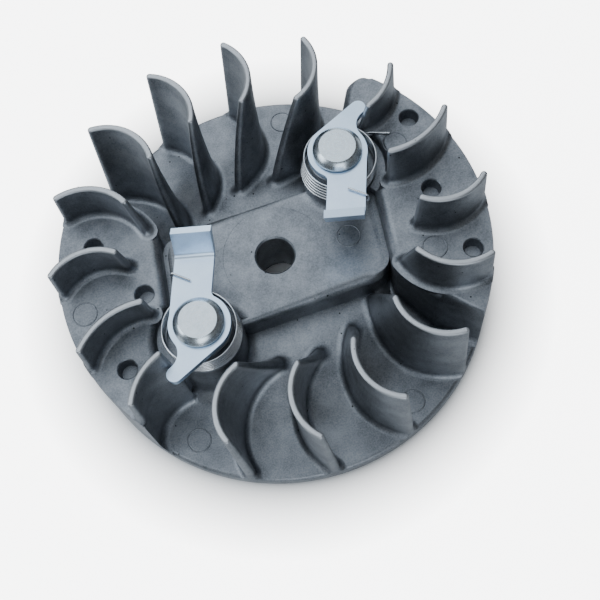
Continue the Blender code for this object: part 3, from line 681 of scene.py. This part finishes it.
def settled(obj, name):
    """Object whose modifiers are made part of its mesh."""
    bpy.context.view_layer.update()
    graph = bpy.context.evaluated_depsgraph_get()
    mesh = bpy.data.meshes.new_from_object(obj.evaluated_get(graph))
    mesh.name = name
    bpy.data.objects.remove(obj, do_unlink=True)
    return link(name, mesh)


def join(obj, mesh, operation):
    """Give an object a Boolean with a mesh; returns the tool's object."""
    tool = link(mesh.name, mesh)
    boolean = obj.modifiers.new(mesh.name, "BOOLEAN")
    boolean.operation = operation
    boolean.object = tool
    boolean.solver = "MANIFOLD"
    return tool


def combined(mesh, other, operation):
    """Mesh of two bodies put together by a Boolean."""
    obj = link(mesh.name, mesh)
    tool = join(obj, other, operation)
    obj = settled(obj, mesh.name)
    result = obj.data
    for used in (obj, tool):
        bpy.data.objects.remove(used, do_unlink=True)
    return result


def smooth(obj, degrees):
    """Smooth shading with sharp edges kept, in which wide faces stay flat."""
    name = obj.name
    obj.data.shade_smooth()
    obj.data.set_sharp_from_angle(angle=math.radians(degrees))
    normals = obj.modifiers.new("flat faces", "WEIGHTED_NORMAL")
    normals.keep_sharp = True
    return settled(obj, name)


def mark_wear_and_highlight(mesh):
    """Store how much each point is lightened: most on the blades' tops, as rubbed wear with a painted
    highlight, less down their inner ends, as a painted highlight.
    """
    # Blade tops: rubbed wear with a painted highlight
    foot = BLADE_TOP - BLADE_CROWN
    wear_and_highlight = [max(0.0, (v.co.z - foot) / BLADE_CROWN) for v in mesh.vertices]
    # Inner end edges of the blades: a painted highlight
    for half_turns in range(2):
        for index, blade in enumerate(HALF_FAN):
            angle = blade_angle(blade, index, half_turns)
            ahead = polar(1.0, angle)
            for vert in mesh.vertices:
                place = Vector(vert.co[:2])
                low = blade["base"] + BLADE_FILLET
                if vert.co.z < low or place.dot(ahead) < 0.0 or place.length > 0.8 * RIM_RADIUS:
                    continue
                inner = blade_section(blade, angle, vert.co.z)[0]
                if (place - inner).length < blade_half(vert.co.z) + HIGHLIGHT_REACH:
                    wear_and_highlight[vert.index] = max(wear_and_highlight[vert.index], INNER_END_HIGHLIGHT)
    layer = mesh.attributes.new("wear_and_highlight", "FLOAT", "POINT")
    layer.data.foreach_set("value", wear_and_highlight)


def make_casting():
    """The casting as one closed body."""
    body = link("flywheel_body", disc_mesh())
    tools = []
    for operation, meshes in (("UNION", casting_additions), ("DIFFERENCE", casting_cutters)):
        tools += [join(body, mesh, operation) for mesh in meshes()]
    body = settled(body, "flywheel_body")
    for tool in tools:
        bpy.data.objects.remove(tool, do_unlink=True)
    mark_wear_and_highlight(body.data)
    return smooth(body, 32)


def arm_point(along, across):
    """Plan point by distance along the arm and out towards its outer edge."""
    return polar(along, ARM_ANGLE) + polar(across, ARM_ANGLE + 90)


def skew(across):
    """How far the lip's bend line lies ahead at a distance across the arm."""
    return (ARM_OUTER_EDGE - ARM_WIDTH / 2 - across) * math.tan(math.radians(LIP_SKEW))


def pawl_outline():
    """Flat blank of the pawl about its pivot: eye, arm with its lip still flat, and hollow-necked tail."""
    origin = Vector((0.0, 0.0))
    arm_inner = ARM_OUTER_EDGE - ARM_WIDTH
    length = ARM_LENGTH + LIP_LENGTH + math.radians(LIP_ANGLE) * (LIP_BEND_RADIUS + PAWL_THICKNESS / 2)
    outer_meet = math.degrees(math.acos(ARM_OUTER_EDGE / EYE_RADIUS))
    inner_reach = EYE_RADIUS + ARM_NECK_RADIUS
    inner_across = arm_inner - ARM_NECK_RADIUS
    inner_neck = arm_point(math.sqrt(inner_reach ** 2 - inner_across ** 2), inner_across)
    eye_end = math.degrees(math.atan2(inner_neck.y, inner_neck.x)) % 360
    tip = polar(TAIL_REACH, TAIL_ANGLE)
    tangent = TAIL_ANGLE + math.degrees(math.acos((EYE_RADIUS - TAIL_TIP_RADIUS) / TAIL_REACH))
    to_eye = EYE_RADIUS + TAIL_NECK_RADIUS
    to_tip = TAIL_TIP_RADIUS + TAIL_NECK_RADIUS
    spread = math.acos((to_eye ** 2 + TAIL_REACH ** 2 - to_tip ** 2) / (2 * TAIL_REACH * to_eye))
    neck_angle = TAIL_ANGLE - math.degrees(spread)
    neck = polar(to_eye, neck_angle)
    neck_end = math.degrees(math.atan2(tip.y - neck.y, tip.x - neck.x))
    outline = arc(origin, EYE_RADIUS, tangent, eye_end, 48)
    outline += arc(inner_neck, ARM_NECK_RADIUS, eye_end + 180, ARM_ANGLE + 450, 8)[1:]
    outline += [arm_point(length + skew(across), across) for across in (arm_inner, ARM_OUTER_EDGE)]
    outline += arc(origin, EYE_RADIUS, ARM_ANGLE + 90 - outer_meet, neck_angle, 24)
    outline += arc(neck, TAIL_NECK_RADIUS, neck_angle + 180, neck_end, 12)[1:]
    return outline + arc(tip, TAIL_TIP_RADIUS, neck_end - 180, tangent, 20)[1:]


def fold_lip(point):
    """Bend the end of the flat blank up."""
    along_axis = polar(1.0, ARM_ANGLE)
    across = Vector(point[:2]).dot(polar(1.0, ARM_ANGLE + 90))
    along = Vector(point[:2]).dot(along_axis)
    excess = along - ARM_LENGTH - skew(across)
    if excess <= 0:
        return point
    neutral = LIP_BEND_RADIUS + PAWL_THICKNESS / 2
    swing = min(excess / neutral, math.radians(LIP_ANGLE))
    rest = excess - swing * neutral
    bend_center = PAWL_BOTTOM + PAWL_THICKNESS + LIP_BEND_RADIUS
    depth = bend_center - point.z
    forward = depth * math.sin(swing) + rest * math.cos(swing)
    height = bend_center - depth * math.cos(swing) + rest * math.sin(swing)
    moved = Vector(point[:2]) + along_axis * (forward - excess)
    return Vector((*moved, height))


def pivot_place(half_turns):
    """Move from the shaft axis to a pawl's pivot, with its half turn."""
    return Matrix.Translation((*PIVOTS[half_turns][:2], 0.0)) @ Matrix.Rotation(math.pi * half_turns, 4, "Z")


def make_pawl(name, half_turns):
    """Stamped pawl with its eye pierced, its lip folded up and its edges broken."""
    blank = link(name, prism_mesh(name, pawl_outline(), PAWL_BOTTOM, PAWL_BOTTOM + PAWL_THICKNESS))
    eye = [(0.0, PAWL_BOTTOM + 2 * PAWL_THICKNESS), (EYE_HOLE_RADIUS, PAWL_BOTTOM + 2 * PAWL_THICKNESS)]
    eye += [(EYE_HOLE_RADIUS, PAWL_BOTTOM - PAWL_THICKNESS), (0.0, PAWL_BOTTOM - PAWL_THICKNESS)]
    punch = join(blank, turned_mesh("punch", eye, 48), "DIFFERENCE")
    pawl = settled(blank, name)
    bpy.data.objects.remove(punch, do_unlink=True)
    bm = bmesh.new()
    bm.from_mesh(pawl.data)
    bend_line = Vector((*polar(1.0, ARM_ANGLE + LIP_SKEW), 0.0))
    bend_length = math.radians(LIP_ANGLE) * (LIP_BEND_RADIUS + PAWL_THICKNESS / 2)
    for i in range(LIP_BEND_STEPS + 1):
        place = arm_point(ARM_LENGTH + bend_length * i / LIP_BEND_STEPS, ARM_OUTER_EDGE - ARM_WIDTH / 2)
        geometry = bm.verts[:] + bm.edges[:] + bm.faces[:]
        bmesh.ops.bisect_plane(bm, geom=geometry, plane_co=(*place, 0.0), plane_no=bend_line, dist=1e-7)
    for vert in bm.verts:
        vert.co = fold_lip(vert.co)
    bmesh.ops.dissolve_limit(bm, angle_limit=math.radians(0.5), verts=bm.verts, edges=bm.edges)
    bm.to_mesh(pawl.data)
    bm.free()
    bevel = pawl.modifiers.new("broken edges", "BEVEL")
    bevel.width = PAWL_EDGE
    bevel.segments = 3
    bevel.angle_limit = math.radians(50)
    pawl = settled(pawl, name)
    pawl.data.transform(pivot_place(half_turns))
    return smooth(pawl, 30)


def mark_radius(mesh, axis):
    """Store each point's distance from an axis, for turning marks."""
    layer = mesh.attributes.new("turned_radius", "FLOAT", "POINT")
    layer.data.foreach_set("value", [(Vector(v.co[:2]) - axis).length for v in mesh.vertices])


def make_pin(name, half_turns):
    """Headed shoulder pin with a dished chamfer round its head."""
    axis = Vector(PIVOTS[half_turns][:2])
    underside = PIN_TOP - HEAD_HEIGHT
    profile = [(0.0, PIN_TOP)]
    for i in range(ROUND_STEPS + 1):
        share = i / ROUND_STEPS
        drop = HEAD_CHAMFER * ((1 - HEAD_DISH) * share + HEAD_DISH * share * share)
        profile.append((HEAD_RADIUS - HEAD_CHAMFER * (1 - share), PIN_TOP - drop))
    profile += [
        (HEAD_RADIUS, underside + HEAD_EDGE),
        (HEAD_RADIUS - HEAD_EDGE, underside),
        (SHOULDER_RADIUS, underside),
        (SHOULDER_RADIUS, PAWL_BOTTOM),
        (SHANK_RADIUS, PAWL_BOTTOM),
        (SHANK_RADIUS, PIN_BOTTOM + SHANK_CHAMFER),
        (SHANK_RADIUS - SHANK_CHAMFER, PIN_BOTTOM),
        (0.0, PIN_BOTTOM),
    ]
    pin = link(name, turned_mesh(name, profile, 96, axis))
    mark_radius(pin.data, axis)
    return smooth(pin, 25)


def spring_path(spread, spread_angle):
    """Centre line of a torsion spring about its pivot; its lower turns spread out to one side."""
    top = PAWL_BOTTOM - FIT_GAP - WIRE_RADIUS
    outward = polar(1.0, FIXED_LEG_ANGLE - 90)
    center = outward * COIL_SHIFT
    start = center + polar(COIL_RADIUS, FIXED_LEG_ANGLE)
    bay_reach = math.sqrt(BAY_RADIUS ** 2 - COIL_RADIUS ** 2) - COIL_SHIFT
    rise = PAD_TOP + FIT_GAP + WIRE_RADIUS - COIL_BOTTOM
    path = []
    for along, lift in ((FIXED_LEG_LENGTH, rise), (bay_reach, rise), (FIXED_LEG_LEVEL, 0.0)):
        path.append(Vector((*(start + outward * along), COIL_BOTTOM + lift)))
    turns = COIL_TURNS + (HOOK_LEG_ANGLE - FIXED_LEG_ANGLE) / 360
    steps = round(turns * COIL_STEPS)
    for i in range(steps + 1):
        angle = FIXED_LEG_ANGLE + 360 * turns * i / steps
        side = max(0.0, math.cos(math.radians(angle - spread_angle)))
        place = center + polar(COIL_RADIUS + spread * side * (1 - i / steps), angle)
        path.append(Vector((*place, COIL_BOTTOM + (top - COIL_BOTTOM) * i / steps)))
    along_leg = polar(1.0, HOOK_LEG_ANGLE + 90)
    arm_normal = polar(1.0, ARM_ANGLE + 90)
    leave = center + polar(COIL_RADIUS, HOOK_LEG_ANGLE)
    edge = leave + along_leg * ((ARM_OUTER_EDGE - leave.dot(arm_normal)) / along_leg.dot(arm_normal))
    half_rise = (PAWL_THICKNESS + 2 * FIT_GAP + 2 * WIRE_RADIUS) / 2
    for i in range(HOOK_STEPS + 1):
        swing = math.pi * i / HOOK_STEPS
        place = edge + along_leg * (HOOK_REACH * math.sin(swing))
        path.append(Vector((*place, top + half_rise * (1 - math.cos(swing)))))
    path.append(Vector((*(edge - along_leg * HOOK_TIP_LENGTH), top + 2 * half_rise)))
    return path


def wire_tree(finish):
    """Geometry nodes that sweep a round wire along a path."""
    tree = bpy.data.node_groups.new("wound_wire", "GeometryNodeTree")
    tree.interface.new_socket("Path", in_out="INPUT", socket_type="NodeSocketGeometry")
    tree.interface.new_socket("Wire Radius", in_out="INPUT", socket_type="NodeSocketFloat")
    tree.interface.new_socket("Sides", in_out="INPUT", socket_type="NodeSocketInt")
    tree.interface.new_socket("Wire", in_out="OUTPUT", socket_type="NodeSocketGeometry")
    nodes = tree.nodes
    inputs = nodes.new("NodeGroupInput")
    path = nodes.new("GeometryNodeMeshToCurve")
    section = nodes.new("GeometryNodeCurvePrimitiveCircle")
    sweep = nodes.new("GeometryNodeCurveToMesh")
    sweep.inputs["Fill Caps"].default_value = True
    realize = nodes.new("GeometryNodeRealizeInstances")
    paint = nodes.new("GeometryNodeSetMaterial")
    paint.inputs["Material"].default_value = finish
    outputs = nodes.new("NodeGroupOutput")
    wires = (
        (inputs, "Path", path, "Mesh"),
        (inputs, "Wire Radius", section, "Radius"),
        (inputs, "Sides", section, "Resolution"),
        (path, "Curve", sweep, "Curve"),
        (section, "Curve", sweep, "Profile Curve"),
        (sweep, "Mesh", realize, "Geometry"),
        (realize, "Geometry", paint, "Geometry"),
        (paint, "Geometry", outputs, "Wire"),
    )
    for source, out, target, into in wires:
        tree.links.new(source.outputs[out], target.inputs[into])
    return tree


def ring_tree(finish):
    """Geometry nodes that set a thin raised ring at each point."""
    tree = bpy.data.node_groups.new("ejector_rings", "GeometryNodeTree")
    tree.interface.new_socket("Places", in_out="INPUT", socket_type="NodeSocketGeometry")
    tree.interface.new_socket("Ring Radius", in_out="INPUT", socket_type="NodeSocketFloat")
    tree.interface.new_socket("Line Radius", in_out="INPUT", socket_type="NodeSocketFloat")
    tree.interface.new_socket("Rings", in_out="OUTPUT", socket_type="NodeSocketGeometry")
    nodes = tree.nodes
    inputs = nodes.new("NodeGroupInput")
    circle = nodes.new("GeometryNodeCurvePrimitiveCircle")
    circle.inputs["Resolution"].default_value = 64
    line = nodes.new("GeometryNodeCurvePrimitiveCircle")
    line.inputs["Resolution"].default_value = 8
    sweep = nodes.new("GeometryNodeCurveToMesh")
    points = nodes.new("GeometryNodeMeshToPoints")
    place = nodes.new("GeometryNodeInstanceOnPoints")
    realize = nodes.new("GeometryNodeRealizeInstances")
    paint = nodes.new("GeometryNodeSetMaterial")
    paint.inputs["Material"].default_value = finish
    outputs = nodes.new("NodeGroupOutput")
    wires = (
        (inputs, "Places", points, "Mesh"),
        (inputs, "Ring Radius", circle, "Radius"),
        (inputs, "Line Radius", line, "Radius"),
        (circle, "Curve", sweep, "Curve"),
        (line, "Curve", sweep, "Profile Curve"),
        (points, "Points", place, "Points"),
        (sweep, "Mesh", place, "Instance"),
        (place, "Instances", realize, "Geometry"),
        (realize, "Geometry", paint, "Geometry"),
        (paint, "Geometry", outputs, "Rings"),
    )
    for source, out, target, into in wires:
        tree.links.new(source.outputs[out], target.inputs[into])
    return tree


def grown(name, mesh, tree, values):
    """Object that a node tree makes from a mesh, with the tree's named inputs set."""
    obj = link(name, mesh)
    modifier = obj.modifiers.new(tree.name, "NODES")
    modifier.node_group = tree
    for item in tree.interface.items_tree:
        if item.item_type == "SOCKET" and item.in_out == "INPUT" and item.name in values:
            modifier[item.identifier] = values[item.name]
    return settled(obj, name)


def make_spring(name, half_turns, tree):
    """Torsion spring of one unbroken wire."""
    place = pivot_place(half_turns)
    path = [place @ p for p in spring_path(*COIL_SPREADS[half_turns])]
    line = bpy.data.meshes.new(name)
    line.from_pydata(path, [(i, i + 1) for i in range(len(path) - 1)], [])
    spring = grown(name, line, tree, {"Wire Radius": DRAWN_WIRE_RADIUS, "Sides": 12})
    return smooth(spring, 50)


def make_marks(tree):
    """Rings that the ejector pins left on the casting."""
    places = bpy.data.meshes.new("ejector_marks")
    places.from_pydata([(*polar(radius, angle), level) for radius, angle, level in EJECTOR_MARKS], [], [])
    marks = grown("ejector_marks", places, tree, {"Ring Radius": MARK_RADIUS, "Line Radius": MARK_LINE})
    return smooth(marks, 60)


def grain_group():
    """Shader group: slow mottling, fine grain and the two together as a speckle."""
    group = bpy.data.node_groups.new("metal_grain", "ShaderNodeTree")
    for name in ("Mottle Scale", "Grain Scale"):
        group.interface.new_socket(name, in_out="INPUT", socket_type="NodeSocketFloat")
    for name in ("Speckle", "Grain"):
        group.interface.new_socket(name, in_out="OUTPUT", socket_type="NodeSocketFloat")
    nodes = group.nodes
    inputs = nodes.new("NodeGroupInput")
    coordinates = nodes.new("ShaderNodeTexCoord")
    mottle = nodes.new("ShaderNodeTexNoise")
    mottle.inputs["Detail"].default_value = 5.0
    mottle.inputs["Roughness"].default_value = 0.6
    grain = nodes.new("ShaderNodeTexNoise")
    grain.inputs["Detail"].default_value = 3.0
    grain.inputs["Roughness"].default_value = 0.7
    for texture, scale in ((mottle, "Mottle Scale"), (grain, "Grain Scale")):
        group.links.new(coordinates.outputs["Object"], texture.inputs["Vector"])
        group.links.new(inputs.outputs[scale], texture.inputs["Scale"])
    speckle = nodes.new("ShaderNodeMix")
    speckle.inputs["Factor"].default_value = 0.5
    group.links.new(mottle.outputs["Fac"], speckle.inputs["A"])
    group.links.new(grain.outputs["Fac"], speckle.inputs["B"])
    outputs = nodes.new("NodeGroupOutput")
    group.links.new(speckle.outputs["Result"], outputs.inputs["Speckle"])
    group.links.new(grain.outputs["Fac"], outputs.inputs["Grain"])
    return group


def metal_material(
    name, grain, colors, roughness, metallic, scales, bump, wear_and_highlight=None, pits=None, ring_pitch=None
):
    """Metal with mottled, grainy colour and relief; where given, edges lightened as rubbed wear and painted
    highlight, pits and turning rings too.
    """
    mat = bpy.data.materials.new(name)
    mat.use_nodes = True
    nodes = mat.node_tree.nodes
    links = mat.node_tree.links
    shader = nodes["Principled BSDF"]
    shader.inputs["Metallic"].default_value = metallic
    surface = nodes.new("ShaderNodeGroup")
    surface.node_tree = grain
    surface.inputs["Mottle Scale"].default_value = scales[0]
    surface.inputs["Grain Scale"].default_value = scales[1]
    ramp = nodes.new("ShaderNodeValToRGB")
    ramp.color_ramp.elements[0].position = 0.36
    ramp.color_ramp.elements[1].position = 0.64
    for element, color in zip(ramp.color_ramp.elements, colors):
        element.color = (*color, 1.0)
    links.new(surface.outputs["Speckle"], ramp.inputs["Fac"])
    base = ramp.outputs["Color"]
    # Lighter colour where the attribute says: rubbed wear with a painted highlight on blade tops, a painted
    # highlight down blade inner ends
    if wear_and_highlight:
        attribute = nodes.new("ShaderNodeAttribute")
        attribute.attribute_name = "wear_and_highlight"
        blend = nodes.new("ShaderNodeMix")
        blend.data_type = "RGBA"
        blend.inputs["B"].default_value = (*wear_and_highlight, 1.0)
        links.new(attribute.outputs["Fac"], blend.inputs["Factor"])
        links.new(base, blend.inputs["A"])
        base = blend.outputs["Result"]
    if pits:
        coordinates = nodes.new("ShaderNodeTexCoord")
        cells = nodes.new("ShaderNodeTexVoronoi")
        cells.inputs["Scale"].default_value = pits[0]
        links.new(coordinates.outputs["Object"], cells.inputs["Vector"])
        edge = nodes.new("ShaderNodeMapRange")
        edge.inputs["From Min"].default_value = pits[1]
        edge.inputs["From Max"].default_value = pits[1] * 0.6
        links.new(cells.outputs["Distance"], edge.inputs["Value"])
        dark = nodes.new("ShaderNodeMix")
        dark.data_type = "RGBA"
        dark.inputs["B"].default_value = (0.02, 0.021, 0.024, 1.0)
        links.new(edge.outputs["Result"], dark.inputs["Factor"])
        links.new(base, dark.inputs["A"])
        base = dark.outputs["Result"]
    links.new(base, shader.inputs["Base Color"])
    height = surface.outputs["Grain"]
    if ring_pitch:
        attribute = nodes.new("ShaderNodeAttribute")
        attribute.attribute_name = "turned_radius"
        wave = nodes.new("ShaderNodeMath")
        wave.operation = "PINGPONG"
        wave.inputs[1].default_value = ring_pitch / 2
        links.new(attribute.outputs["Fac"], wave.inputs[0])
        rings = nodes.new("ShaderNodeMath")
        rings.operation = "MULTIPLY_ADD"
        rings.inputs[1].default_value = 1 / ring_pitch
        links.new(wave.outputs["Value"], rings.inputs[0])
        links.new(height, rings.inputs[2])
        height = rings.outputs["Value"]
    spread = nodes.new("ShaderNodeMapRange")
    spread.inputs["To Min"].default_value = roughness[0]
    spread.inputs["To Max"].default_value = roughness[1]
    links.new(height, spread.inputs["Value"])
    links.new(spread.outputs["Result"], shader.inputs["Roughness"])
    relief = nodes.new("ShaderNodeBump")
    relief.inputs["Strength"].default_value = bump
    relief.inputs["Distance"].default_value = 0.05 * MM
    links.new(height, relief.inputs["Height"])
    links.new(relief.outputs["Normal"], shader.inputs["Normal"])
    return mat


def paint(obj, mat):
    """Give an object one material."""
    obj.data.materials.clear()
    obj.data.materials.append(mat)


def add_camera():
    """Camera at the photograph's angle."""
    elevation = math.radians(CAMERA_ELEVATION)
    back = Vector((0.0, -math.cos(elevation), math.sin(elevation)))
    up = Vector((0.0, math.sin(elevation), math.cos(elevation)))
    turn = Matrix((Vector((1.0, 0.0, 0.0)), up, back)).transposed()
    data = bpy.data.cameras.new("camera")
    data.lens = CAMERA_LENS
    data.sensor_width = 36.0
    data.clip_start = 0.01
    camera = bpy.data.objects.new("camera", data)
    roll = Matrix.Rotation(math.radians(CAMERA_ROLL), 3, "Z")
    camera.matrix_world = Matrix.Translation(CAMERA_TARGET + back * CAMERA_DISTANCE) @ (turn @ roll).to_4x4()
    bpy.context.scene.collection.objects.link(camera)
    bpy.context.scene.camera = camera


def add_light(name, place, size, power):
    """Soft square light aimed at the wheel."""
    data = bpy.data.lights.new(name, "AREA")
    data.size = size
    data.energy = power
    data.color = LIGHT_COLOR
    light = bpy.data.objects.new(name, data)
    light.location = place
    light.rotation_euler = (-Vector(place)).to_track_quat("-Z", "Y").to_euler()
    bpy.context.scene.collection.objects.link(light)


def add_studio():
    """Pale floor, whose glow seen by the camera fades towards the wheel into a painted contact shadow, and
    soft light.
    """
    edge = arc(Vector((0.0, 0.0)), FLOOR_REACH, 0, 354, 59)
    floor = link("studio_floor", prism_mesh("studio_floor", edge, -10 * MM, -0.2 * MM))
    mat = bpy.data.materials.new("pale_floor")
    mat.use_nodes = True
    nodes = mat.node_tree.nodes
    links = mat.node_tree.links
    shader = nodes["Principled BSDF"]
    shader.inputs["Base Color"].default_value = (0.92, 0.92, 0.92, 1.0)
    shader.inputs["Roughness"].default_value = 0.8
    shader.inputs["Emission Color"].default_value = (1.0, 1.0, 1.0, 1.0)
    coordinates = nodes.new("ShaderNodeTexCoord")
    distance = nodes.new("ShaderNodeVectorMath")
    distance.operation = "LENGTH"
    links.new(coordinates.outputs["Object"], distance.inputs[0])
    # Glow from nothing at the rim to full further out: a painted contact shadow round the wheel
    glow = nodes.new("ShaderNodeMapRange")
    glow.inputs["From Min"].default_value = RIM_RADIUS
    glow.inputs["From Max"].default_value = PAINTED_SHADOW_REACH
    glow.inputs["To Max"].default_value = FLOOR_GLOW
    links.new(distance.outputs["Value"], glow.inputs["Value"])
    path = nodes.new("ShaderNodeLightPath")
    seen = nodes.new("ShaderNodeMath")
    seen.operation = "MULTIPLY"
    links.new(glow.outputs["Result"], seen.inputs[0])
    links.new(path.outputs["Is Camera Ray"], seen.inputs[1])
    links.new(seen.outputs["Value"], shader.inputs["Emission Strength"])
    paint(floor, mat)
    floor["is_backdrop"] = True
    for name, (place, size, power) in STUDIO_LIGHTS.items():
        add_light(name, place, size, power)
    world = bpy.data.worlds.new("studio")
    world.use_nodes = True
    surround = world.node_tree.nodes["Background"]
    surround.inputs["Color"].default_value = (1.0, 1.0, 1.0, 1.0)
    surround.inputs["Strength"].default_value = SURROUND_STRENGTH
    bpy.context.scene.world = world


def dress():
    """All pieces of the flywheel; the casting, its marks, the pins and the pawls on their bodies."""
    grain = grain_group()
    # The casting's lighter blend colour is rubbed wear and painted highlight on the blades
    cast = metal_material(
        "die_cast_aluminium", grain, ((0.14, 0.153, 0.174), (0.34, 0.362, 0.398)), (0.38, 0.56), 1.0,
        (160.0, 2600.0), 0.8, wear_and_highlight=(0.5, 0.52, 0.55), pits=(260.0, 0.07),
    )
    zinc = metal_material(
        "bright_zinc", grain, ((0.58, 0.72, 0.9), (0.7, 0.84, 1.0)), (0.27, 0.36), 1.0,
        (220.0, 3500.0), 0.05,
    )
    turned = metal_material(
        "turned_steel", grain, ((0.52, 0.59, 0.65), (0.66, 0.73, 0.79)), (0.2, 0.3), 1.0,
        (700.0, 4200.0), 0.1, ring_pitch=1.1 * MM,
    )
    wire = metal_material(
        "spring_wire", grain, ((0.62, 0.65, 0.68), (0.78, 0.8, 0.83)), (0.2, 0.3), 1.0,
        (900.0, 5000.0), 0.1,
    )
    steel = metal_material(
        "pole_steel", grain, ((0.2, 0.2, 0.21), (0.3, 0.3, 0.31)), (0.35, 0.5), 1.0,
        (400.0, 3000.0), 0.3,
    )
    ceramic = metal_material(
        "magnet_coat", grain, ((0.03, 0.03, 0.033), (0.05, 0.05, 0.053)), (0.5, 0.65), 0.0,
        (400.0, 3000.0), 0.3,
    )
    casting = make_casting()
    paint(casting, cast)
    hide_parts("flywheel_casting")
    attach(casting, "wheel")
    marks = make_marks(ring_tree(cast))
    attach(marks, "wheel")
    for name in ("pole_shoe_leading", "pole_shoe_trailing", "counterweight"):
        paint(frame["nodes"][name], steel)
    paint(frame["nodes"]["magnet"], ceramic)
    tree = wire_tree(wire)
    for half_turns, tag in enumerate("ab"):
        pin = make_pin(f"plated_pin_{tag}", half_turns)
        paint(pin, turned)
        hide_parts(f"pawl_pin_{tag}")
        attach(pin, "wheel")
        pawl = make_pawl(f"stamped_pawl_{tag}", half_turns)
        paint(pawl, zinc)
        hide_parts(f"starter_pawl_{tag}")
        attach(pawl, f"pawl_{tag}")
        spring = make_spring(f"wound_spring_{tag}", half_turns, tree)
        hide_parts(f"pawl_spring_{tag}")
        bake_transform(spring)


add_camera()
dress()
add_studio()
sizes = [[list(corner) for corner in box] for box in (CAD_BOX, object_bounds())]
